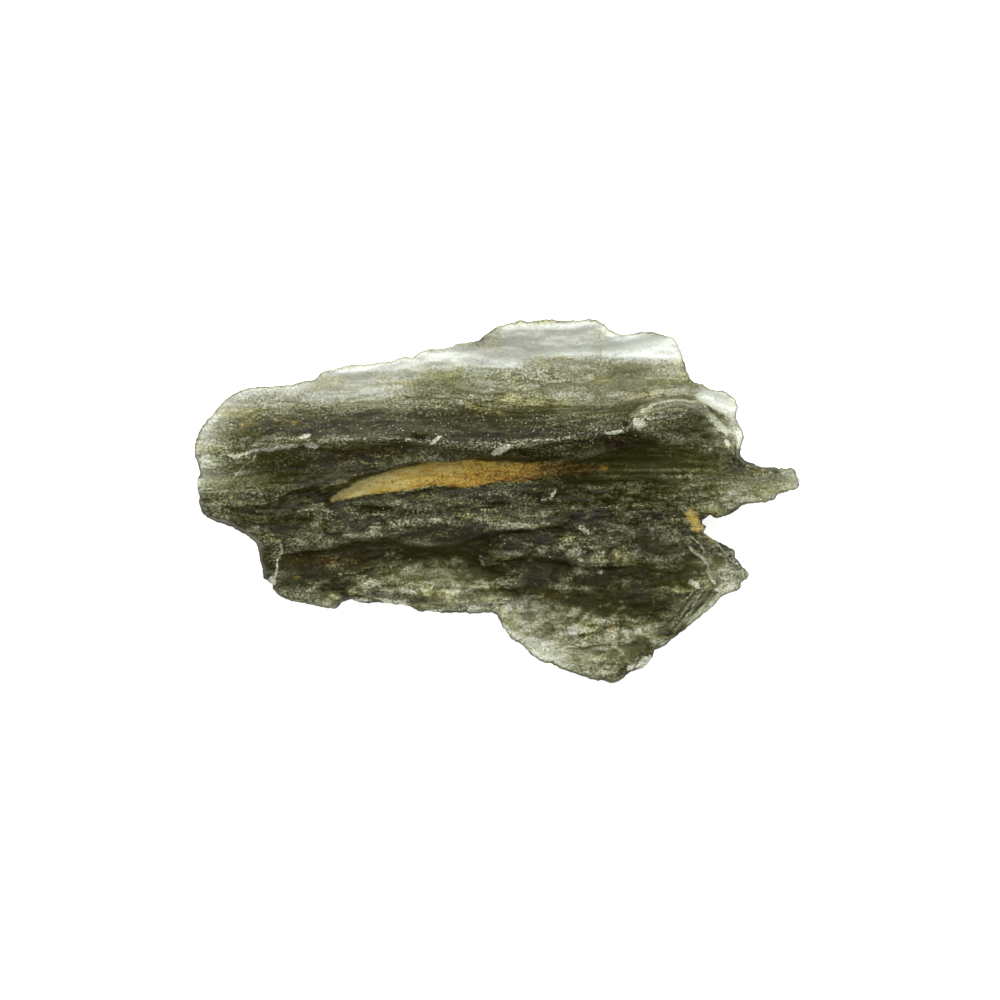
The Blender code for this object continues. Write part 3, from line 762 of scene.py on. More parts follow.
BLOOMS = (
    # Flange
    Bloom(0.90, 0.34, (
        (-7.00, 5.20), (-5.60, 5.40), (-4.20, 5.56), (-2.60, 5.84), (-1.60, 5.78), (0.20, 5.62),
        (1.20, 5.64),
    ), 0.08),
    Bloom(0.70, 0.24, ((-3.40, 5.90), (-2.40, 6.20), (-1.40, 6.20), (-0.80, 6.10))),
    Bloom(1.00, 0.48, ((4.00, 6.22), (5.40, 6.18), (7.60, 6.10)), 0.08),
    Bloom(0.75, 0.16, ((3.20, 7.06), (4.00, 6.94), (4.70, 6.60))),
    Bloom(0.92, 0.66, ((-0.20, 6.36), (2.00, 6.44), (4.40, 6.40))),
    # Lobe
    Bloom(0.80, 0.36, ((7.90, 4.50), (8.70, 4.02), (9.34, 3.70), (9.40, 3.20))),
    Bloom(0.70, 0.14, ((8.34, 3.52), (8.90, 2.96), (9.30, 2.66))),
    Bloom(0.70, 0.12, ((9.60, 2.90), (9.64, 2.40), (9.60, 2.00))),
    Bloom(0.45, 0.14, ((11.20, 1.20), (11.70, 1.10), (11.94, 0.80))),
    # Shoulder and the left end
    Bloom(0.35, 0.16, (
        (-11.90, 2.20), (-11.40, 3.20), (-10.60, 4.10), (-9.40, 4.42), (-7.60, 4.60),
    )),
    Bloom(0.35, 0.20, ((-11.80, 1.80), (-11.20, 1.60), (-10.80, 1.70))),
    # Lower tip and the rim beside the strip
    Bloom(0.34, 0.28, ((1.10, -5.50), (1.80, -5.96), (2.60, -6.30), (3.20, -6.52))),
    Bloom(0.55, 0.12, ((9.60, -3.20), (9.00, -3.60), (8.20, -4.30), (7.40, -5.00))),
    Bloom(0.60, 0.10, ((-4.60, -3.94), (-3.80, -4.04), (-3.40, -4.20))),
)
# Where fine cracks wander along the grain, and where the skin is mottled
CREASED = (
    Shade(-4.60, -3.20, 4.8, 1.10, 0.9),
    Shade(3.60, -5.00, 4.0, 1.60, 0.9),
    Shade(-4.60, -0.30, 6.4, 1.10, 0.6),
    Shade(6.20, 0.10, 5.4, 1.10, 0.7),
    Shade(2.60, 4.50, 5.6, 0.80, 0.7),
    Shade(-5.60, 1.60, 3.4, 0.60, 0.5),
    Shade(-3.60, 5.20, 3.6, 0.60, 0.35),
)
MOTTLED = (
    Shade(4.20, -4.40, 4.6, 2.40, 1.0),
    Shade(-4.00, -3.00, 5.0, 1.20, 0.8),
    Shade(8.60, -2.60, 1.4, 1.20, 0.8),
    Shade(3.20, -1.40, 4.6, 1.10, 0.6),
    Shade(-6.40, -0.80, 3.6, 1.00, 0.6),
    Shade(8.80, 3.00, 0.7, 1.20, 0.5),
)
SHADES = (
    # Dark band above the crest, and a painted highlight along the crest's edge
    Shade(-2.28, 3.00, 8.4, 0.66, -0.20),
    Shade(-0.60, 2.40, 5.0, 0.30, -0.10),
    Shade(-2.60, 2.46, 7.0, 0.10, 0.06),
    # Below the crest
    Shade(-3.60, 1.80, 2.4, 0.26, 0.08, 0.10),
    Shade(-6.60, 1.20, 2.6, 0.60, -0.07, 0.12),
    Shade(-9.60, 0.90, 1.4, 0.60, 0.04),
    Shade(1.30, 1.92, 4.0, 0.16, -0.12),
    Shade(-1.60, 0.40, 3.4, 0.12, -0.10, 0.06),
    # Grey plateau, with the brown hollow in it
    Shade(-7.20, -1.00, 2.4, 0.65, -0.13),
    Shade(-2.60, -0.10, 2.8, 0.50, 0.05, 0.08),
    Shade(-2.00, -1.30, 2.8, 0.34, -0.26, 0.04),
    Shade(2.90, -0.70, 1.3, 0.24, -0.18),
    Shade(3.00, -2.10, 1.4, 0.26, -0.08),
    Shade(-5.20, -0.30, 1.3, 0.22, -0.10),
    Shade(1.60, -0.10, 2.2, 0.30, -0.06, 0.06),
    # Grey tongue
    Shade(3.60, -1.70, 4.4, 0.70, -0.05, -0.05),
    # Hump
    Shade(7.20, 2.60, 1.9, 0.70, -0.05),
    Shade(5.60, 2.50, 0.8, 0.40, -0.16),
    Shade(4.90, 2.20, 1.1, 0.30, -0.26),
    # Painted shade in the furrows below the ledges
    Shade(-7.60, 0.02, 1.4, 0.24, -0.20, 0.15),
    Shade(-5.80, -2.20, 3.2, 0.50, -0.18, 0.08),
    Shade(-0.60, -1.72, 2.6, 0.42, -0.26, 0.10),
    Shade(3.60, -2.95, 4.4, 0.42, -0.24, -0.03),
    Shade(5.40, -3.90, 2.0, 0.60, -0.08, 0.2),
    # Striated strip and tip on the lower right
    Shade(6.10, -5.62, 1.5, 0.26, -0.30, 0.66),
    # Painted shade in the layer grooves at the tip
    Shade(3.60, -5.88, 1.3, 0.10, -0.55, 0.10),
    Shade(3.40, -6.12, 1.1, 0.09, -0.55, 0.04),
    Shade(3.80, -6.40, 1.0, 0.09, -0.55, -0.06),
    Shade(4.90, -6.86, 0.8, 0.12, -0.34, 0.40),
    Shade(2.60, -4.50, 1.0, 0.30, -0.16, 0.30),
    Shade(4.10, -4.60, 0.5, 0.40, -0.14),
    Shade(0.30, -4.60, 0.9, 0.40, -0.12),
    Shade(8.90, -2.50, 0.9, 0.70, -0.04),
    # Pale shoulder, olive bands and flange
    Shade(-7.20, 4.10, 4.6, 0.36, 0.22),
    Shade(-11.20, 2.00, 0.6, 1.20, 0.14),
    Shade(3.00, 4.45, 5.4, 0.60, 0.40),
    Shade(-2.60, -3.20, 3.4, 0.50, 0.26),
    Shade(3.00, -4.80, 2.8, 0.60, 0.34, -0.1),
    Shade(6.00, 0.20, 3.0, 0.60, 0.04),
    Shade(10.20, 0.50, 1.6, 0.60, 0.32),
    # Shadow at the foot of the flange
    Shade(5.20, 5.34, 3.0, 0.20, -0.30, -0.02),
    Shade(0.20, 5.24, 1.8, 0.09, -0.26),
    Shade(-4.40, 5.08, 3.0, 0.06, -0.34, 0.03),
    # Streaks in the groove on the right
    Shade(6.60, 1.20, 2.6, 0.50, 0.07),
    Shade(6.20, 1.52, 2.2, 0.09, 0.28, 0.02),
    Shade(6.00, 1.24, 2.4, 0.07, 0.26),
    Shade(6.40, 0.98, 2.6, 0.07, 0.26),
    Shade(6.20, 1.38, 2.4, 0.06, -0.24),
    Shade(6.20, 1.10, 2.4, 0.06, -0.24),
)
STAINS = (
    Stain(0.86, 0.26, (
        (7.36, -0.30), (7.72, -0.56), (7.92, -1.00), (7.80, -1.40),
    ), 0.25, tone=Tone.HONEY),
    Stain(0.80, 0.16, ((7.56, -0.40), (7.80, -0.62), (7.86, -0.90)), 0.3, tone=Tone.OCHRE),
    Stain(0.74, 0.14, (
        (8.00, -0.80), (8.16, -1.10), (8.40, -1.40), (8.90, -1.68),
    ), 0.2, tone=Tone.CREAM),
    Stain(0.42, 0.20, ((8.60, -2.30), (8.90, -2.60), (9.00, -3.00)), 0.3, tone=Tone.OCHRE),
    Stain(0.50, 0.26, ((4.90, 4.16), (5.80, 4.24), (6.80, 4.40)), tone=Tone.HONEY),
    Stain(0.65, 0.09, ((6.90, 4.50), (7.30, 4.54)), tone=Tone.BROWN),
    Stain(0.60, 0.12, ((-0.90, 6.20), (-0.40, 6.28)), tone=Tone.BROWN),
    Stain(0.85, 0.12, ((4.36, -5.12), (4.84, -5.08)), tone=Tone.OCHRE),
    Stain(0.42, 0.26, ((-10.30, 2.90), (-9.60, 3.20)), tone=Tone.HONEY),
    Stain(0.36, 0.24, ((-9.00, 3.16), (-7.60, 3.20)), tone=Tone.HONEY),
    Stain(0.36, 0.30, ((-1.20, 3.60), (0.60, 3.60)), tone=Tone.HONEY),
    Stain(0.46, 0.40, ((-8.60, -2.20), (-6.20, -2.40), (-4.60, -2.10)), tone=Tone.BROWN),
    Stain(0.40, 0.24, ((-8.20, -2.90), (-7.60, -3.00)), tone=Tone.HONEY),
    Stain(0.46, 0.30, ((-6.80, 1.60), (-5.00, 1.90), (-3.20, 2.00)), tone=Tone.BROWN),
    Stain(0.34, 0.30, ((1.20, -3.60), (2.80, -3.90)), tone=Tone.HONEY),
    Stain(0.80, 0.18, ((4.00, 1.30), (4.50, 1.34)), tone=Tone.OCHRE),
    Stain(0.30, 0.22, ((4.60, 1.40), (6.40, 1.40), (8.00, 1.30)), tone=Tone.HONEY),
    # Painted shade in pits and in the gap below the crest
    Stain(1.20, 0.14, ((-3.28, 2.48), (-2.74, 2.52)), 0.4, tone=Tone.PIT_SHADE),
    Stain(1.20, 0.14, ((4.88, 3.00), (5.28, 3.14)), 0.4, tone=Tone.PIT_SHADE),
    Stain(0.95, 0.20, ((3.90, 2.16), (4.60, 2.34), (5.40, 2.30)), 0.4, tone=Tone.PIT_SHADE),
    Stain(0.70, 0.10, ((-0.60, 1.80), (1.40, 1.84), (3.60, 1.86)), 0.4, tone=Tone.PIT_SHADE),
    Stain(0.60, 0.12, ((10.80, 0.20), (11.00, 0.10)), 0.4, tone=Tone.PIT_SHADE),
)


@dataclass(frozen=True)
class StoneShape:
    """The form of the stone: outline, thickness, upper relief and underside.

    length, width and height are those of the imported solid, so the two always fit each other.
    A ripple is its height, its bumps per millimetre along the grain and across it, and a seed.
    """

    length: float
    width: float
    height: float
    raggedness: float = 0.04
    ragged_scale: float = 2.3
    spot_aspect: float = 0.28
    spot_rounding: float = 0.25
    thinnest: float = 0.22
    upper_ripples: tuple[Ripple, ...] = ((0.13, 0.35, 1.9, 11), (0.035, 1.1, 6.5, 21))
    upper_grain: tuple[Ripple, ...] = ((0.018, 4.5, 8.0, 31),)
    least_ripples: float = 0.3
    full_ripples_at: float = 1.6
    crease_depth: float = 0.06
    mottle_height: float = 0.06
    rim_height: float = 2.2
    belly_reach: float = 4.0
    belly_roundness: float = 1.7
    belly_unevenness: float = 0.3
    flutes: tuple[Ripple, ...] = ((0.30, 0.22, 0.9, 41), (0.10, 0.6, 2.4, 51))
    fine_flutes: tuple[Ripple, ...] = ((0.05, 2.0, 4.0, 61),)
    rim_level: float = 0.4
    rim_rounding: Point = (0.05, 0.06)

    def outline(self, step: float) -> np.ndarray:
        """The broken outline, fitted to length and width.

        Args:
            step: About how far apart its points are.

        Returns:
            The points, clockwise.
        """
        points = smooth_closed_curve(OUTLINE, step)
        ragged = layered_noise(*(points * self.ragged_scale).T, 3, 4, 0.7)
        points = points - inward_normals(points) * (self.raggedness * ragged)[:, None]
        low, high = points.min(0), points.max(0)
        return (points - (low + high) / 2) * (self.length, self.width) / (high - low)

    def spot_distance(self, dx: np.ndarray, dy: np.ndarray) -> np.ndarray:
        """Distance between thickness spots, which reach further along the grain."""
        return np.sqrt((dx * self.spot_aspect) ** 2 + dy**2 + self.spot_rounding**2)

    def thickness(self, x: np.ndarray, y: np.ndarray) -> np.ndarray:
        """Thickness of the glass, through all the spots and smooth between them.

        Args:
            x, y: The places.

        Returns:
            The thickness at each place.
        """
        spots = np.array(THICKNESS_SPOTS)
        across = spots[:, None, :2] - spots[None, :, :2]
        count = len(spots)
        system = np.ones((count + 1, count + 1))
        system[:count, :count] = self.spot_distance(across[..., 0], across[..., 1])
        system[count, count] = 0
        weights = np.linalg.solve(system, np.append(spots[:, 2], 0))
        total = np.full(x.shape, weights[-1])
        for (spot_x, spot_y, _), weight in zip(THICKNESS_SPOTS, weights):
            total = total + weight * self.spot_distance(x - spot_x, y - spot_y)
        return np.maximum(total, self.thinnest)

    @staticmethod
    def waves(x: np.ndarray, y: np.ndarray, ripples: tuple[Ripple, ...]) -> np.ndarray:
        """Ripples that follow the grain.

        Args:
            x, y: The places.
            ripples: Which ripples.

        Returns:
            Their sum at each place.
        """
        flow = grain_flow(x, y)
        return sum(
            height * layered_noise(x * along, flow * across, seed)
            for height, along, across, seed in ripples
        )

    @staticmethod
    def drifted(x: np.ndarray, y: np.ndarray) -> tuple[np.ndarray, np.ndarray]:
        """Moves places a little, which makes straight marks wander.

        Args:
            x, y: The places.

        Returns:
            The moved x and y.
        """
        return (
            x + 0.15 * lattice_noise(x * 0.5, y * 0.9, 5),
            y + 0.10 * lattice_noise(x * 0.9, y * 1.1, 7),
        )

    def prominence(self, x: np.ndarray, y: np.ndarray) -> np.ndarray:
        """How far the upper face stands out from what lies around it.

        Args:
            x, y: The places.

        Returns:
            The ledges, furrows and broad ripples at each place.
        """
        drift_x, drift_y = self.drifted(x, y)
        total = sum(ledge.lift(drift_x, drift_y) for ledge in LEDGES)
        total = total + sum(furrow.lift(x, drift_y) for furrow in FURROWS)
        thick = smooth_step(self.thickness(x, y) / self.full_ripples_at)
        strength = self.least_ripples + (1 - self.least_ripples) * thick
        return total + self.waves(x, y, self.upper_ripples) * strength

    def relief(self, x: np.ndarray, y: np.ndarray) -> np.ndarray:
        """What is added to the upper face above the plain thickness.

        Args:
            x, y: The places.

        Returns:
            The height of all ledges, furrows, chips, cracks and grain at each place.
        """
        total = self.prominence(x, y) + self.waves(x, y, self.upper_grain)
        total = total + STRIP.lift(x, y) - self.crease_depth * self.creases(x, y)
        total = total + self.mottle_height * self.mottle(x, y)
        total = total + HOLLOW.lift(x, self.drifted(x, y)[1])
        return total + sum(chip.lift(x, y) for chip in CHIPS)

    @staticmethod
    def creases(x: np.ndarray, y: np.ndarray) -> np.ndarray:
        """Fine cracks that wander along the grain.

        Args:
            x, y: The places.

        Returns:
            Their strength, from 0 to 1.
        """
        flow = grain_flow(x, y)
        zones = np.clip(sum(zone.amount(x, y) for zone in CREASED), 0, 1)
        broad, fine = (
            np.exp(-((layered_noise(x * along, flow * across, seed) / half_width) ** 2))
            for along, across, seed, half_width in ((0.7, 2.4, 71, 0.16), (1.6, 5.0, 75, 0.18))
        )
        return zones * np.maximum(broad, 0.6 * fine)

    @staticmethod
    def mottle(x: np.ndarray, y: np.ndarray) -> np.ndarray:
        """Small lumps and hollows of the skin, from about -1 to 1, set askew to the grain."""
        zones = np.clip(sum(zone.amount(x, y) for zone in MOTTLED), 0, 1)
        return zones * layered_noise(x * 1.7 + y * 0.5, y * 2.7 - x * 0.4, 81, 4, 0.7)

    def underside(self, x: np.ndarray, y: np.ndarray, inset: np.ndarray) -> np.ndarray:
        """The underside: flat far inside the rim, and rising towards it.

        Args:
            x, y: The places.
            inset: Their distance from the rim.

        Returns:
            Its height at each place.
        """
        uneven = self.belly_unevenness * lattice_noise(x * 0.40, y * 0.65, 101)
        share = np.clip((inset + uneven) / self.belly_reach, 0, 1)
        rise = (1 - share) ** self.belly_roundness
        flutes = np.abs(self.waves(x, y, self.flutes))
        flutes = flutes + np.abs(self.waves(x, y, self.fine_flutes))
        return self.rim_height * rise + np.clip(rise * 2, 0, 1) * flutes

    def faces(
        self, x: np.ndarray, y: np.ndarray, inset: np.ndarray
    ) -> tuple[np.ndarray, np.ndarray]:
        """Heights of the upper face and of the underside.

        Args:
            x, y: The places.
            inset: Distance of each place from the rim.

        Returns:
            The upper and the lower height, which meet at the rim.
        """
        thick = self.thickness(x, y)
        least, more = self.rim_rounding
        swell = np.sqrt(1 - (1 - np.clip(inset / (least + more * thick), 0, 1)) ** 2)
        low = self.underside(x, y, inset)
        middle = low + self.rim_level * thick
        body = np.maximum(
            thick + self.relief(x, y), self.rim_level * thick + self.thinnest / 2
        )
        return middle + (low + body - middle) * swell, middle + (low - middle) * swell


@dataclass(frozen=True)
class Net:
    """Triangles that fill the stone's outline, finer across the grain than along it."""

    along: float
    across: float
    rings: tuple[float, ...] = (0.03, 0.08, 0.15)
    ring_clearance: float = 0.8
    rounds: int = 3
    weld: float = 1e-7

    def inner_places(self, outline: np.ndarray) -> np.ndarray:
        """Rows that follow the grain, and rings along the rim.

        Args:
            outline: The rim's points, clockwise.

        Returns:
            The places inside the outline.
        """
        low, high = outline.min(0), outline.max(0)
        x, y = np.meshgrid(
            np.arange(low[0], high[0], self.along), np.arange(low[1], high[1], self.across)
        )
        x[1::2] += self.along / 2
        inner = np.stack([x.ravel(), y.ravel()], 1)
        clear = self.rings[-1] + self.across
        inner = inner[distance_inside(inner[:, 0], inner[:, 1], outline) > clear]
        normals = inward_normals(outline)
        for offset in self.rings:
            ring = outline + normals * offset
            kept = distance_inside(ring[:, 0], ring[:, 1], outline) > offset * self.ring_clearance
            inner = np.concatenate([inner, ring[kept]])
        return inner

    def fill(self, outline: np.ndarray) -> tuple[np.ndarray, np.ndarray]:
        """Fills the outline, and splits triangles that would bridge it from rim to rim.

        Args:
            outline: The rim's points, clockwise.

        Returns:
            The places, the rim's first, and the corner indices of each triangle,
            counter-clockwise.
        """
        inner = self.inner_places(outline)
        places, triangles = self.triangulate(outline, inner)
        for _ in range(self.rounds):
            middles = self.shortcut_middles(places, triangles, len(outline))
            if not len(middles):
                break
            inner = np.concatenate([inner, middles])
            places, triangles = self.triangulate(outline, inner)
        return places, triangles

    def triangulate(
        self, outline: np.ndarray, inner: np.ndarray
    ) -> tuple[np.ndarray, np.ndarray]:
        """Joins the outline and the inner places with triangles.

        Args:
            outline: The rim's points, clockwise.
            inner: The places inside it.

        Returns:
            All places, and the corner indices of each triangle that lies inside the rim.
        """
        places = np.concatenate([outline, inner])
        count = len(outline)
        rim_edges = [(i, (i + 1) % count) for i in range(count)]
        found, _, triangles, sources, _, _ = delaunay_2d_cdt(
            [Vector(place) for place in places], rim_edges, [], 1, self.weld, True
        )
        order = np.array([source[0] for source in sources])
        corners = order[np.array(triangles)]
        centres = places[corners].mean(1)
        reach = np.full(len(centres), 1.0)
        near = (corners < count).any(1)
        reach[near] = distance_inside(centres[near, 0], centres[near, 1], outline)
        return places, corners[reach > 0]

    @staticmethod
    def shortcut_middles(places: np.ndarray, triangles: np.ndarray, rim: int) -> np.ndarray:
        """Finds the edges that join two rim places across the glass.

        Args:
            places: All places, the rim's first.
            triangles: Their triangles.
            rim: How many places are the rim's.

        Returns:
            The middles of those edges.
        """
        edges = np.sort(triangles[:, [0, 1, 1, 2, 2, 0]].reshape(-1, 2), axis=1)
        edges, uses = np.unique(edges, axis=0, return_counts=True)
        shortcuts = edges[(uses == 2) & (edges < rim).all(1)]
        return places[shortcuts].mean(1)


def place_in_scene(name: str, data: bpy.types.ID) -> bpy.types.Object:
    """Makes an object and adds it to the scene.

    Args:
        name: The object's name.
        data: Its mesh, light or camera.

    Returns:
        The object.
    """
    thing = bpy.data.objects.new(name, data)
    bpy.context.scene.collection.objects.link(thing)
    return thing


class Value:
    """A shader value with arithmetic. An expression on values adds its Math nodes."""

    def __init__(self, graph: "Graph", socket: bpy.types.NodeSocket) -> None:
        """Keeps the graph that the value belongs to and the socket it comes from."""
        self.graph = graph
        self.socket = socket

    def _math(self, operation: str, *inputs: "Value | float", clamp: bool = False) -> "Value":
        """Adds one Math node and returns its result."""
        settings = {"operation": operation, "use_clamp": clamp}
        return self.graph.add("ShaderNodeMath", settings, dict(enumerate(inputs)))

    def __add__(self, other: "Value | float") -> "Value":
        """This value plus another."""
        return self._math("ADD", self, other)

    def __radd__(self, other: float) -> "Value":
        """A number plus this value."""
        return self._math("ADD", other, self)

    def __sub__(self, other: "Value | float") -> "Value":
        """This value minus another."""
        return self._math("SUBTRACT", self, other)

    def __rsub__(self, other: float) -> "Value":
        """A number minus this value."""
        return self._math("SUBTRACT", other, self)

    def __mul__(self, other: "Value | float") -> "Value":
        """This value times another."""
        return self._math("MULTIPLY", self, other)

    def clamped(self) -> "Value":
        """This value, kept between 0 and 1."""
        return self._math("ADD", self, 0.0, clamp=True)

    def eased(self, low: float, high: float) -> "Value":
        """Eases this value.

        Args:
            low: Where the result is still 0.
            high: Where it becomes 1. It may be the lower of the two.

        Returns:
            0 to 1, smooth between them.
        """
        settings = {"interpolation_type": "SMOOTHSTEP"}
        sockets = {"Value": self, "From Min": low, "From Max": high}
        return self.graph.add("ShaderNodeMapRange", settings, sockets)


class Graph:
    """The nodes of one material."""

    def __init__(self, name: str) -> None:
        """Makes an empty node material of that name."""
        self.material = bpy.data.materials.new(name)
        self.material.use_nodes = True
        self.tree = self.material.node_tree
        self.tree.nodes.clear()

    @classmethod
    def within(cls, tree: bpy.types.NodeTree) -> "Graph":
        """A graph that adds its nodes to a tree that exists.

        Args:
            tree: The tree.

        Returns:
            The graph, without a material.
        """
        graph = cls.__new__(cls)
        graph.material = None
        graph.tree = tree
        return graph

    def add(
        self, kind: str, settings: dict | None = None, sockets: dict | None = None,
        out: str | int = 0,
    ) -> Value:
        """Adds a node.

        Args:
            kind: The node's type.
            settings: Its properties, set first. A ramp's stops are given as "stops".
            sockets: Its inputs by name or number, each a number, a colour or a Value.
            out: The output to return, by name or number.

        Returns:
            The output as a Value.
        """
        node = self.tree.nodes.new(kind)
        for key, setting in (settings or {}).items():
            if key == "stops":
                self._set_stops(node.color_ramp, setting)
            else:
                setattr(node, key, setting)
        for key, given in (sockets or {}).items():
            if isinstance(given, Value):
                self.tree.links.new(given.socket, node.inputs[key])
            else:
                node.inputs[key].default_value = given
        return Value(self, node.outputs[out]) if len(node.outputs) else Value(self, None)

    @staticmethod
    def _set_stops(ramp: bpy.types.ColorRamp, stops: tuple[Stop, ...]) -> None:
        """Gives a ramp its stops.

        Args:
            ramp: The ramp.
            stops: Each a position and a colour.
        """
        while len(ramp.elements) < len(stops):
            ramp.elements.new(1.0)
        for element, (position, colour) in zip(ramp.elements, stops):
            element.position = position
            element.color = (*colour, 1.0)

    def attribute(self, name: str) -> Value:
        """A value painted on the mesh."""
        return self.add("ShaderNodeAttribute", {"attribute_name": name}, out="Fac")

    def place(self, scale: tuple[float, float, float]) -> Value:
        """The place on the object.

        Args:
            scale: How many units a millimetre is, along x, y and z.

        Returns:
            The scaled place.
        """
        coordinates = self.add("ShaderNodeTexCoord", out="Object")
        scaled = tuple(s / MM for s in scale)
        return self.add("ShaderNodeMapping", None, {"Vector": coordinates, "Scale": scaled})

    def tinted(self, colour: Value, factor: Value, tint: Colour) -> Value:
        """Multiplies a colour by a tint.

        Args:
            colour: The colour.
            factor: How far it is tinted, from 0 to 1.
            tint: The tint.

        Returns:
            The tinted colour.
        """
        sockets = {"Factor": factor, 6: colour, 7: (*tint, 1.0)}
        settings = {"data_type": "RGBA", "blend_type": "MULTIPLY"}
        return self.add("ShaderNodeMix", settings, sockets, out=2)

    def ramp(self, factor: Value, stops: tuple[Stop, ...]) -> Value:
        """The colour that a ramp's stops give for each value."""
        return self.add("ShaderNodeValToRGB", {"stops": stops}, {"Fac": factor})

    def mix(self, factor: Value, first: Value, second: Value) -> Value:
        """The first colour turned into the second by a factor."""
        sockets = {"Factor": factor, 6: first, 7: second}
        return self.add("ShaderNodeMix", {"data_type": "RGBA"}, sockets, out=2)

    def noise(
        self, vector: Value, scale: float, detail: float = 2.0, rough: float = 0.5
    ) -> Value:
        """Noise from 0 to 1 at each place."""
        sockets = {"Vector": vector, "Scale": scale, "Detail": detail, "Roughness": rough}
        return self.add("ShaderNodeTexNoise", None, sockets, out="Fac")


@dataclass(frozen=True)
class Pattern:
    """Noise on the stone, drawn out along the grain of the glass.

    stretch is how much coarser it is along the grain, as a share of its scale. Where there
    is a range, the noise is eased from 0 to 1 over it.
    """

    stretch: float
    scale: float
    detail: float = 2.0
    rough: float = 0.5
    ease: Point | None = None

    def value(self, graph: Graph, ease: Point | None = None) -> Value:
        """The pattern at each place.

        Args:
            graph: The material's nodes.
            ease: A range to use in place of its own.

        Returns:
            The noise, from 0 to 1.
        """
        vector = graph.place((self.stretch, 1.0, 1.0))
        noise = graph.noise(vector, self.scale, self.detail, self.rough)
        span = ease or self.ease
        return noise.eased(*span) if span else noise


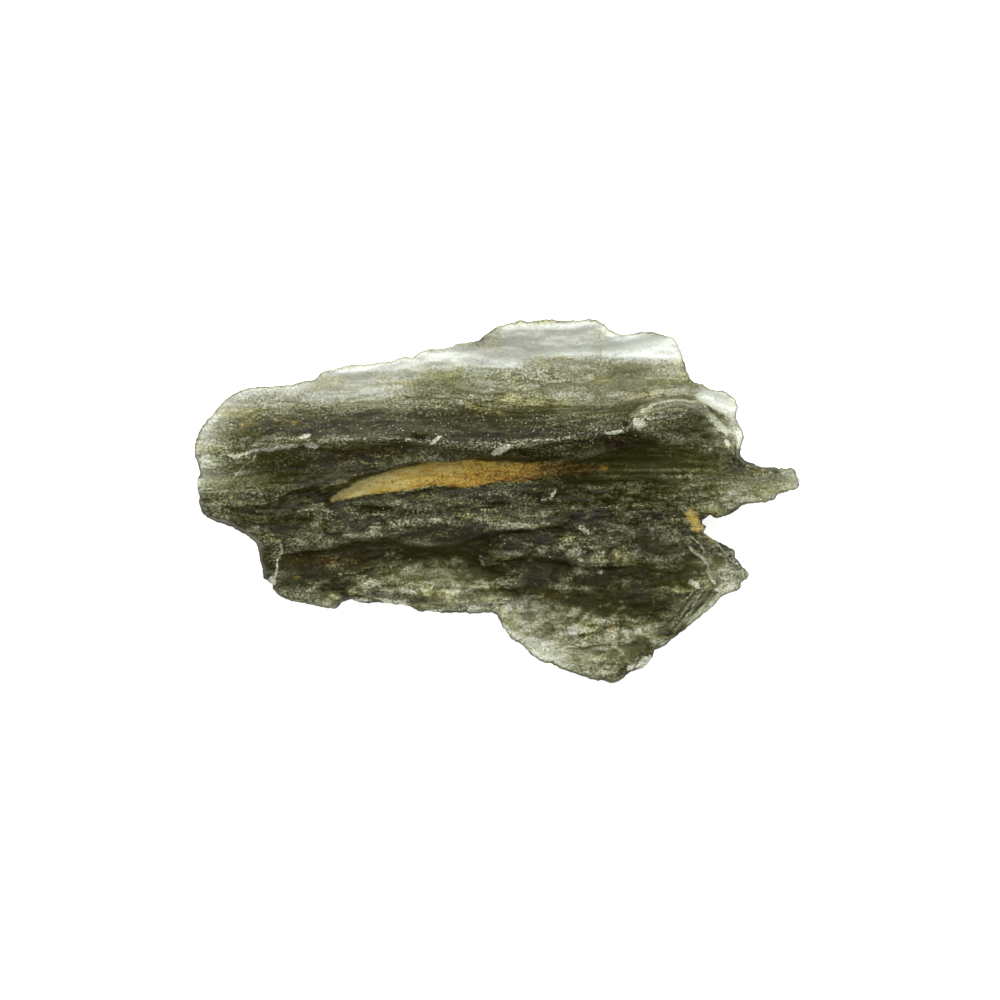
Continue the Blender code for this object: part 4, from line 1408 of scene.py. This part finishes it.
@dataclass(frozen=True)
class MoldaviteGlass:
    """Clear olive glass with a matt etched skin, clay in its furrows and crushed chips, and
    painted light and shade in the skin.
    """

    ior: float = 1.49
    absorbed_per_mm: Colour = (0.80, 0.79, 1.36)
    least_rough: float = 0.37
    more_rough: float = 0.12
    matt_rough: float = 0.8
    matt_specular: float = 0.05
    grain_height: float = 0.030
    coarse_grain: float = 0.6
    least_coat: float = 0.50
    most_coat: float = 0.64
    bloom_coat: float = 0.98
    worn: Point = (0.80, 0.40)
    most_hidden: float = 0.95
    vivid_span: Point = (0.7, 0.6)
    sugar_contrast: float = 0.86
    streak_contrast: float = 0.44
    calm_bloom: float = 0.75
    skin_lift: float = 0.65
    clay_lift: float = 0.50
    blotch_strength: float = 0.8
    clay_raggedness: float = 1.5
    clay_span: Point = (0.20, 0.95)
    clay_floor: Point = (0.05, 0.25)
    frost_raggedness: float = 1.2
    frost_span: Point = (0.24, 0.72)
    frost_floor: Point = (0.02, 0.10)
    sugar: Pattern = Pattern(0.90, 13.0, 2.0, 0.55)
    sugar_span: Point = (0.26, 0.74)
    # Where the micro-grain's pits get painted shade
    pit_shade_span: Point = (0.56, 0.36)
    coarse: Pattern = Pattern(0.4, 4.0)
    patches: Pattern = Pattern(0.375, 0.72, 3.0)
    vivid: Pattern = Pattern(0.4, 0.8, ease=(0.35, 0.65))
    streaks: Pattern = Pattern(0.25, 3.5, 4.0, 0.65, (0.32, 0.68))
    blotches: Pattern = Pattern(0.4, 1.1, 3.0, 0.6, (0.50, 0.66))
    clay_grain: Pattern = Pattern(0.6, 6.0, 4.0, 0.65)
    frost_grain: Pattern = Pattern(0.8, 12.0, 1.0)
    deep_tint: Colour = (0.94, 0.93, 0.86)
    pale_tint: Colour = (1.0, 1.0, 0.99)
    # Tint of the painted shade in the micro-grain's pits
    pit_painted_shade: Colour = (0.70, 0.70, 0.60)
    warm: Colour = (1.06, 1.00, 0.62)
    blue_cast: Colour = (0.97, 1.0, 1.0)
    skins: tuple[Stop, ...] = (
        (0.0, (0.008, 0.007, 0.001)), (0.2, (0.050, 0.046, 0.007)), (0.4, (0.168, 0.172, 0.096)),
        (0.65, (0.47, 0.49, 0.30)), (1.0, (0.90, 0.91, 0.86)),
    )
    # Clay tones from cream to brown. The last, nearly black stop is painted shade in pits and
    # gaps
    clay_and_pit_shade_tones: tuple[Stop, ...] = (
        (0.0, (0.46, 0.41, 0.18)), (0.33, (0.44, 0.300, 0.052)), (0.62, (0.25, 0.125, 0.030)),
        (0.85, (0.07, 0.042, 0.016)), (1.0, (0.012, 0.010, 0.006)),
    )
    # Crushed glass in chips and cracks. Along the crest's edge this colour is a painted highlight
    crushed: tuple[Stop, ...] = ((0.0, (0.17, 0.17, 0.11)), (0.55, (0.62, 0.63, 0.50)))

    def bump(self, graph: Graph) -> Value:
        """The relief of the micro-grain, drawn out along the stone.

        Args:
            graph: The material's nodes.

        Returns:
            The normal.
        """
        height = self.sugar.value(graph) + self.coarse.value(graph) * self.coarse_grain
        sockets = {"Height": height, "Distance": self.grain_height * MM, "Strength": 1.0}
        return graph.add("ShaderNodeBump", None, sockets)

    def skin(self, graph: Graph, normal: Value) -> Value:
        """The clear glass, with painted shade in the micro-grain's pits.

        Args:
            graph: The material's nodes.
            normal: The grain's normal.

        Returns:
            Its shader.
        """
        patches = self.patches.value(graph)
        tint = graph.ramp(patches, ((0.35, self.deep_tint), (0.65, self.pale_tint)))
        # Painted shade in the pits of the micro-grain
        tint = graph.tinted(tint, self.sugar.value(graph, self.pit_shade_span), self.pit_painted_shade)
        return graph.add("ShaderNodeBsdfPrincipled", None, {
            "Base Color": tint,
            "Roughness": self.least_rough + patches * self.more_rough,
            "IOR": self.ior,
            "Transmission Weight": 1.0,
            "Normal": normal,
        })

    def crust(self, graph: Graph, normal: Value, clay: Value, frost: Value) -> Value:
        """Etched skin with painted light and shade, clay, iron stain, painted shade in pits and
        crushed glass, which hide the glass below.

        Args:
            graph: The material's nodes.
            normal: The grain's normal.
            clay: How much of the crust is clay, with painted shade in pits.
            frost: How much of it is crushed glass, with the painted highlight along the crest.

        Returns:
            The crust's shader.
        """
        sugar = self.sugar.value(graph, self.sugar_span)
        cool = graph.attribute("cool")
        least_vivid, more_vivid = self.vivid_span
        vivid = self.vivid.value(graph) * more_vivid + least_vivid
        # Paler on the grain's raised points and darker in its pits, as the bump is: partly grain,
        # partly painted light and shade
        lift = (sugar - 0.5) * self.sugar_contrast * vivid
        lift = lift + (self.streaks.value(graph) - 0.5) * self.streak_contrast
        lift = lift * (1 - cool * self.calm_bloom)
        shade = (graph.attribute("shade") + lift * self.skin_lift).clamped()
        warmth = self.blotches.value(graph) * self.blotch_strength * (1 - cool).clamped()
        etched = graph.tinted(graph.ramp(shade, self.skins), warmth, self.warm)
        etched = graph.tinted(etched, cool, self.blue_cast)
        tone = (graph.attribute("tone") - lift * self.clay_lift).clamped()
        colour = graph.mix(clay, etched, graph.ramp(tone, self.clay_and_pit_shade_tones))
        colour = graph.mix(frost, colour, graph.ramp(sugar, self.crushed))
        return graph.add("ShaderNodeBsdfPrincipled", None, {
            "Base Color": colour,
            "Roughness": self.matt_rough,
            "Specular IOR Level": self.matt_specular,
            "Normal": normal,
        })

    @staticmethod
    def ragged(
        graph: Graph, painted: str, grain: Value, raggedness: float, span: Point, floor: Point
    ) -> Value:
        """A painted layer whose edge the grain breaks up.

        Args:
            graph: The material's nodes.
            painted: The layer's attribute.
            grain: The noise that breaks it up.
            raggedness: How strongly.
            span: Where the broken layer starts and is full.
            floor: Where the paint itself starts and is full.

        Returns:
            How much of the layer there is, from 0 to 1.
        """
        paint = graph.attribute(painted)
        return (paint + (grain - 0.5) * raggedness).eased(*span) * paint.eased(*floor)

    def material(self) -> bpy.types.Material:
        """Builds the whole material.

        Returns:
            The material.
        """
        graph = Graph("moldavite_glass")
        normal = self.bump(graph)
        clay = self.ragged(
            graph, "clay", self.clay_grain.value(graph), self.clay_raggedness,
            self.clay_span, self.clay_floor,
        )
        frost = self.ragged(
            graph, "frost", self.frost_grain.value(graph), self.frost_raggedness,
            self.frost_span, self.frost_floor,
        )
        least_worn, more_worn = self.worn
        worn = least_worn + self.sugar.value(graph, self.sugar_span) * more_worn
        hidden = (graph.attribute("coat") * worn + clay + frost).clamped() * self.most_hidden
        glass, crust = self.skin(graph, normal), self.crust(graph, normal, clay, frost)
        surface = graph.add("ShaderNodeMixShader", None, {0: hidden, 1: glass, 2: crust})
        densest = max(self.absorbed_per_mm)
        passed = tuple(1 - absorbed / densest for absorbed in self.absorbed_per_mm)
        body = graph.add("ShaderNodeVolumeAbsorption", None, {
            "Color": (*passed, 1.0), "Density": densest / MM,
        })
        graph.add("ShaderNodeOutputMaterial", None, {"Surface": surface, "Volume": body})
        return graph.material


@dataclass(frozen=True)
class Etching:
    """How pale the etched skin is, from 0, nearly black, to 1, white.

    Over thick glass the skin carries painted light and shade that follow the relief, paler where
    it stands out and darker in furrows, creases and at the rim. Over thin glass, of thin_from to
    thin_to millimetres, it is pale.
    """

    middle: float = 0.24
    # Painted light and shade that follow the relief
    painted_light_by_prominence: float = 0.48
    palest_thick: float = 0.75
    thin_from: float = 0.2
    thin_to: float = 2.6
    palest_thin: float = 0.90
    darker_thin: float = 0.26
    darker_thin_span: Point = (0.3, 1.5)
    # Painted shade in creases and along the rim, and painted light and shade on the mottle and
    # the strip's ribs
    crease_painted_shade: float = 0.42
    mottle_painted_shading: float = 0.26
    rim_width: float = 0.10
    rim_painted_shade: float = 0.12
    rim_line_width: float = 0.05
    rim_line_painted_shade: float = 0.5
    strip_pale: float = 0.28
    rib_painted_shading: float = 0.18
    strip_cool: float = 0.8
    bloom_pale: float = 0.9
    underside: float = 0.4

    def cover(self, thickness: np.ndarray) -> np.ndarray:
        """How far each place counts as thick glass, from 0 to 1."""
        return smooth_step((thickness - self.thin_from) / (self.thin_to - self.thin_from))

    def shade(
        self, shape: StoneShape, x: np.ndarray, y: np.ndarray, inset: np.ndarray,
        bloom: np.ndarray,
    ) -> np.ndarray:
        """The skin's paleness on the upper face, with painted light and shade.

        Args:
            shape: The stone's form.
            x, y: The places.
            inset: Their distance from the rim.
            bloom: How frosted they are.

        Returns:
            One value for each place. It may pass 0 or 1 a little.
        """
        thickness = shape.thickness(x, y)
        cover = self.cover(thickness)
        # Painted light and shade: paler where the relief stands out, darker where it sinks
        thick = self.middle + self.painted_light_by_prominence * shape.prominence(x, y)
        thick = thick + sum(patch.amount(x, y) for patch in SHADES)
        start, end = self.darker_thin_span
        thin = smooth_step((thickness - start) / (end - start))
        thin = self.palest_thin - self.darker_thin * thin
        shade = np.clip(thick, 0.0, self.palest_thick) * cover + thin * (1 - cover)
        # Painted shade in the fine creases
        shade = shade - self.crease_painted_shade * shape.creases(x, y)
        # Painted light and shade on the mottle's lumps and hollows
        shade = shade + self.mottle_painted_shading * shape.mottle(x, y)
        # Painted shade along the rim
        shade = shade - self.rim_painted_shade * np.exp(-((inset / self.rim_width) ** 2))
        in_strip, ribs = STRIP.inside(x, y)
        # In the striated strip, painted light and shade on its ribs
        shade = shade + in_strip * (self.strip_pale + self.rib_painted_shading * ribs - shade)
        shade = shade + self.bloom_pale * bloom * (1 - shade)
        # Painted dark outline along the very edge of the rim
        return shade - self.rim_line_painted_shade * np.exp(-((inset / self.rim_line_width) ** 2))


@dataclass(frozen=True)
class Stone:
    """The shard of glass: its fine mesh, what is painted on it, and its finish."""

    shape: StoneShape
    finish: MoldaviteGlass
    etching: Etching
    rim_step: float = 0.07
    upper_net: Net = Net(0.088, 0.044)
    lower_net: Net = Net(0.17, 0.10)

    def build(self) -> bpy.types.Object:
        """Builds the stone as one closed mesh.

        Returns:
            Its object, painted and dressed.
        """
        outline = self.shape.outline(self.rim_step)
        rim = len(outline)
        top_places, top_faces = self.upper_net.fill(outline)
        low_places, low_faces = self.lower_net.fill(outline)
        top_inset = self.inset(top_places, outline)
        top = self.shape.faces(*top_places.T, top_inset)[0]
        low = self.shape.faces(*low_places.T, self.inset(low_places, outline))[1]
        vertices = np.concatenate([
            np.column_stack([top_places, top]), np.column_stack([low_places, low])[rim:]
        ])
        vertices[:, 2] *= self.shape.height / vertices[:, 2].max()
        shifted = np.where(low_faces < rim, low_faces, low_faces + len(top_places) - rim)
        faces = np.concatenate([top_faces, shifted[:, ::-1]])
        mesh = bpy.data.meshes.new("stone")
        mesh.from_pydata((vertices * MM).tolist(), [], faces.tolist())
        self.paint(mesh, *top_places.T, top_inset)
        mesh.shade_smooth()
        mesh.materials.append(self.finish.material())
        return place_in_scene("moldavite_glass", mesh)

    @staticmethod
    def inset(places: np.ndarray, outline: np.ndarray) -> np.ndarray:
        """Distance from the rim, exactly 0 for the rim's own places.

        Args:
            places: The places, the rim's first.
            outline: The rim's points.

        Returns:
            One distance for each place.
        """
        distance = np.abs(distance_inside(places[:, 0], places[:, 1], outline))
        distance[: len(outline)] = 0
        return distance

    @staticmethod
    def clay(x: np.ndarray, y: np.ndarray) -> tuple[np.ndarray, np.ndarray]:
        """Clay and iron stain, from all the stains and the hollow, and painted shade in pits and
        gaps.

        Args:
            x, y: The places.

        Returns:
            How much of it there is at each place, and its tone.
        """
        amounts = np.array([stain.amount(x, y) for stain in STAINS] + [HOLLOW.amount(x, y)])
        tones = np.array(
            [np.full(len(x), stain.tone.value) for stain in STAINS] + [HOLLOW.tone(x, y)]
        )
        weights = amounts**2 + 1e-9
        return amounts.max(0), (weights * tones).sum(0) / weights.sum(0)

    def coat(self, x: np.ndarray, y: np.ndarray, frosted: np.ndarray) -> np.ndarray:
        """How much of the glass the crust hides.

        Args:
            x, y: The places.
            frosted: How frosted the places are, where it hides most.

        Returns:
            A share, from 0 to 1.
        """
        finish, cover = self.finish, self.etching.cover(self.shape.thickness(x, y))
        coat = finish.least_coat + (finish.most_coat - finish.least_coat) * cover
        return coat + frosted * (finish.bloom_coat - coat)

    def paint(
        self, mesh: bpy.types.Mesh, x: np.ndarray, y: np.ndarray, inset: np.ndarray
    ) -> None:
        """Writes clay with painted shade in pits, its tone, crushed glass with the painted
        highlight along the crest, and the etched skin with painted light and shade, on the upper
        face.

        Args:
            mesh: The stone's mesh, whose first vertices are the upper face's.
            x, y: Where they are in plan.
            inset: Their distance from the rim.
        """
        bloom = np.max([strip.amount(x, y) for strip in BLOOMS], axis=0)
        rim = np.exp(-((inset / self.etching.rim_width) ** 2))
        cover = self.etching.cover(self.shape.thickness(x, y))
        amount, tone = self.clay(x, y)
        scars_and_highlights = [chip.whiteness(x, y) for chip in CHIPS]
        # The white lines along the crest's edge are a painted highlight
        scars_and_highlights += [crack.amount(x, y) for crack in CRACKS]
        layers = {
            "clay": (amount, 0.0),
            "tone": (tone, 0.0),
            "frost": (np.max(scars_and_highlights, axis=0), 0.0),
            "shade": (
                self.etching.shade(self.shape, x, y, inset, bloom), self.etching.underside
            ),
            "coat": (self.coat(x, y, np.maximum(bloom, rim * cover)), self.finish.least_coat),
            "cool": (np.maximum(bloom, self.etching.strip_cool * STRIP.inside(x, y)[0]), 0.0),
        }
        for name, (values, elsewhere) in layers.items():
            painted = np.full(len(mesh.vertices), elsewhere)
            painted[: len(values)] = values
            layer = mesh.attributes.new(name, "FLOAT", "POINT")
            layer.data.foreach_set("value", painted)


@dataclass(frozen=True)
class GlintFlecks:
    """Pale specks that stand in for glints on the etched skin: painted glints, most of all above
    the crest.
    """

    per_square_mm: float = 7.0
    smallest: float = 0.014
    largest: float = 0.030
    seed: int = 7
    facing_up: float = 0.3
    largest_turn: float = 3.0
    # Pale colour of the painted glints
    colour: Colour = (0.58, 0.62, 0.54)
    ior: float = 1.49
    least_rough: float = 0.25
    more_rough: float = 0.3
    mottle: Pattern = Pattern(1.0, 9.0)
    zones: tuple[Shade, ...] = (
        Shade(-1.60, 3.00, 8.6, 0.80, 0.9),
        Shade(-2.60, -0.30, 3.0, 0.60, 0.22, 0.06),
        Shade(3.40, -1.70, 4.2, 0.70, 0.30),
        Shade(4.40, -4.60, 3.4, 1.20, 0.14),
        Shade(8.70, -2.60, 0.9, 0.80, 0.50),
    )

    def finish(self) -> bpy.types.Material:
        """Pale, a little glossy finish of the painted glints.

        Returns:
            The material.
        """
        graph = Graph("glint_fleck_finish")
        shader = graph.add("ShaderNodeBsdfPrincipled", None, {
            "Base Color": (*self.colour, 1.0),
            "Roughness": self.least_rough + self.mottle.value(graph) * self.more_rough,
            "IOR": self.ior,
        })
        graph.add("ShaderNodeOutputMaterial", None, {"Surface": shader})
        return graph.material

    def tree(self, material: bpy.types.Material) -> bpy.types.NodeTree:
        """The nodes that scatter the specks over a surface.

        Args:
            material: The specks' finish.

        Returns:
            The Geometry Nodes tree, with inputs for the specks' number, sizes and seed.
        """
        tree = bpy.data.node_groups.new("glint_fleck_scatter", "GeometryNodeTree")
        inputs = {
            "Stone": "NodeSocketGeometry",
            "Per Square Metre": "NodeSocketFloat",
            "Smallest": "NodeSocketFloat",
            "Largest": "NodeSocketFloat",
            "Seed": "NodeSocketInt",
        }
        face = tree.interface
        for name, kind in inputs.items():
            face.new_socket(name, in_out="INPUT", socket_type=kind)
        face.new_socket("Flecks", in_out="OUTPUT", socket_type="NodeSocketGeometry")
        graph = Graph.within(tree)
        given = {name: graph.add("NodeGroupInput", out=name) for name in inputs}
        share = graph.add(
            "GeometryNodeInputNamedAttribute", {"data_type": "FLOAT"}, {"Name": "flecks"}
        )
        points = graph.add("GeometryNodeDistributePointsOnFaces", None, {
            "Mesh": given["Stone"],
            "Density": share * given["Per Square Metre"],
            "Seed": given["Seed"],
        })
        crumb = graph.add("GeometryNodeMeshIcoSphere", None, {"Radius": 1.0, "Subdivisions": 1})
        size = graph.add("FunctionNodeRandomValue", {"data_type": "FLOAT"}, {
            2: given["Smallest"], 3: given["Largest"], "Seed": given["Seed"],
        }, out=1)
        turn = graph.add("FunctionNodeRandomValue", {"data_type": "FLOAT_VECTOR"}, {
            0: (0.0, 0.0, 0.0), 1: (self.largest_turn,) * 3, "Seed": given["Seed"],
        })
        placed = graph.add("GeometryNodeInstanceOnPoints", None, {
            "Points": points, "Instance": crumb, "Rotation": turn, "Scale": size,
        })
        real = graph.add("GeometryNodeRealizeInstances", None, {"Geometry": placed})
        dressed = graph.add(
            "GeometryNodeSetMaterial", None, {"Geometry": real, "Material": material}
        )
        graph.add("NodeGroupOutput", None, {"Flecks": dressed})
        return tree

    def build(self, stone: bpy.types.Object) -> bpy.types.Object:
        """Scatters the specks over the stone's upper face.

        Args:
            stone: The finished stone.

        Returns:
            All specks as one plain mesh object.
        """
        mesh = stone.data.copy()
        places = np.zeros(len(mesh.vertices) * 3)
        mesh.vertices.foreach_get("co", places)
        x, y, _ = places.reshape(-1, 3).T / MM
        share = sum(zone.amount(x, y) for zone in self.zones)
        normals = np.zeros(len(mesh.vertices) * 3)
        mesh.vertex_normals.foreach_get("vector", normals)
        upper = normals[2::3] > self.facing_up
        layer = mesh.attributes.new("flecks", "FLOAT", "POINT")
        layer.data.foreach_set("value", np.clip(share, 0, 1) * upper)
        flecks = place_in_scene("glint_flecks", mesh)
        modifier = flecks.modifiers.new("flecks", "NODES")
        modifier.node_group = self.tree(self.finish())
        values = {
            "Per Square Metre": self.per_square_mm / MM**2,
            "Smallest": self.smallest * MM,
            "Largest": self.largest * MM,
            "Seed": self.seed,
        }
        for item in modifier.node_group.interface.items_tree:
            if item.in_out == "INPUT" and item.name in values:
                modifier[item.identifier] = values[item.name]
        evaluated = flecks.evaluated_get(bpy.context.evaluated_depsgraph_get())
        scattered = bpy.data.meshes.new_from_object(evaluated)
        flecks.modifiers.clear()
        flecks.data = scattered
        return flecks


@dataclass(frozen=True)
class SoftBox:
    """A square light that faces the stone."""

    name: str
    place: tuple[float, float, float]
    side: float
    radiance: float

    def build(self) -> None:
        """Adds the light to the scene."""
        lamp = bpy.data.lights.new(self.name, "AREA")
        lamp.shape = "SQUARE"
        lamp.size = self.side
        lamp.energy = self.radiance * math.pi * self.side**2
        box = place_in_scene(self.name, lamp)
        box.location = self.place
        box.rotation_euler = Vector(self.place).to_track_quat("Z", "Y").to_euler()
        box.visible_camera = False


@dataclass(frozen=True)
class Studio:
    """Pale floor, a large soft box, a weaker one and a camera that looks straight down."""

    field: float = PHOTO_SIZE / PIXELS_PER_MM * MM
    camera_height: float = 0.5
    sensor: float = 36.0
    lights: tuple[SoftBox, ...] = (
        SoftBox("soft_box", (-0.05, 0.40, 0.62), 0.80, 3.6),
        SoftBox("fill_box", (0.05, -0.46, 0.44), 0.50, 1.2),
    )
    clip_start: float = 0.01
    room: float = 0.30
    room_colour: Colour = (1.0, 1.0, 0.98)
    floor_half: float = 2.0
    floor_albedo: float = 0.86
    floor_rough: float = 0.9
    floor_glow: float = 0.75
    floor_gap: float = 0.02 * MM

    def build(self) -> bpy.types.Object:
        """Builds floor, lights, room and camera.

        Returns:
            The floor.
        """
        for light in self.lights:
            light.build()
        self.world()
        self.camera()
        return self.floor()

    def floor(self) -> bpy.types.Object:
        """A white sheet with a faint glow of its own, as on a light table.

        Returns:
            Its object.
        """
        half = self.floor_half
        corners = [
            (x * half, y * half, -self.floor_gap) for x, y in ((-1, -1), (1, -1), (1, 1), (-1, 1))
        ]
        mesh = bpy.data.meshes.new("floor")
        mesh.from_pydata(corners, [], [(0, 1, 2, 3)])
        graph = Graph("floor_white")
        sheet = graph.add("ShaderNodeBsdfPrincipled", None, {
            "Base Color": (*(self.floor_albedo,) * 3, 1.0),
            "Roughness": self.floor_rough,
            "Specular IOR Level": 0.0,
            "Emission Color": (1.0, 1.0, 1.0, 1.0),
            "Emission Strength": self.floor_glow,
        })
        graph.add("ShaderNodeOutputMaterial", None, {"Surface": sheet})
        mesh.materials.append(graph.material)
        return place_in_scene("floor", mesh)

    def world(self) -> None:
        """The pale room around the stone."""
        world = bpy.data.worlds.new("room")
        world.use_nodes = True
        back = world.node_tree.nodes["Background"]
        back.inputs["Color"].default_value = (*self.room_colour, 1.0)
        back.inputs["Strength"].default_value = self.room
        bpy.context.scene.world = world
        bpy.context.scene.view_settings.view_transform = "Standard"

    def camera(self) -> None:
        """A long lens straight above, framed as the photograph is."""
        data = bpy.data.cameras.new("camera")
        data.sensor_width = self.sensor
        data.lens = self.sensor * self.camera_height / self.field
        data.clip_start = self.clip_start
        camera = place_in_scene("camera", data)
        middle = PHOTO_SIZE / 2
        camera.location = (
            (middle - STONE_MIDDLE[0]) / PIXELS_PER_MM * MM,
            (STONE_MIDDLE[1] - middle) / PIXELS_PER_MM * MM,
            self.camera_height,
        )
        bpy.context.scene.camera = camera


def main() -> None:
    """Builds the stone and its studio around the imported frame."""
    logging.basicConfig(level=logging.INFO, format="%(name)s: %(message)s")
    low, high = CAD_BOX
    shape = StoneShape(*((end - start) / MM for start, end in zip(low, high)))
    stone = Stone(shape, MoldaviteGlass(), Etching()).build()
    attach(stone, "root")
    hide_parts(NODE)
    LOG.info("stone: %d triangles", len(stone.data.polygons))
    flecks = GlintFlecks().build(stone)
    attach(flecks, "root")
    LOG.info("flecks: %d triangles", len(flecks.data.polygons))
    Studio().build()


if __name__ == "__main__":
    main()
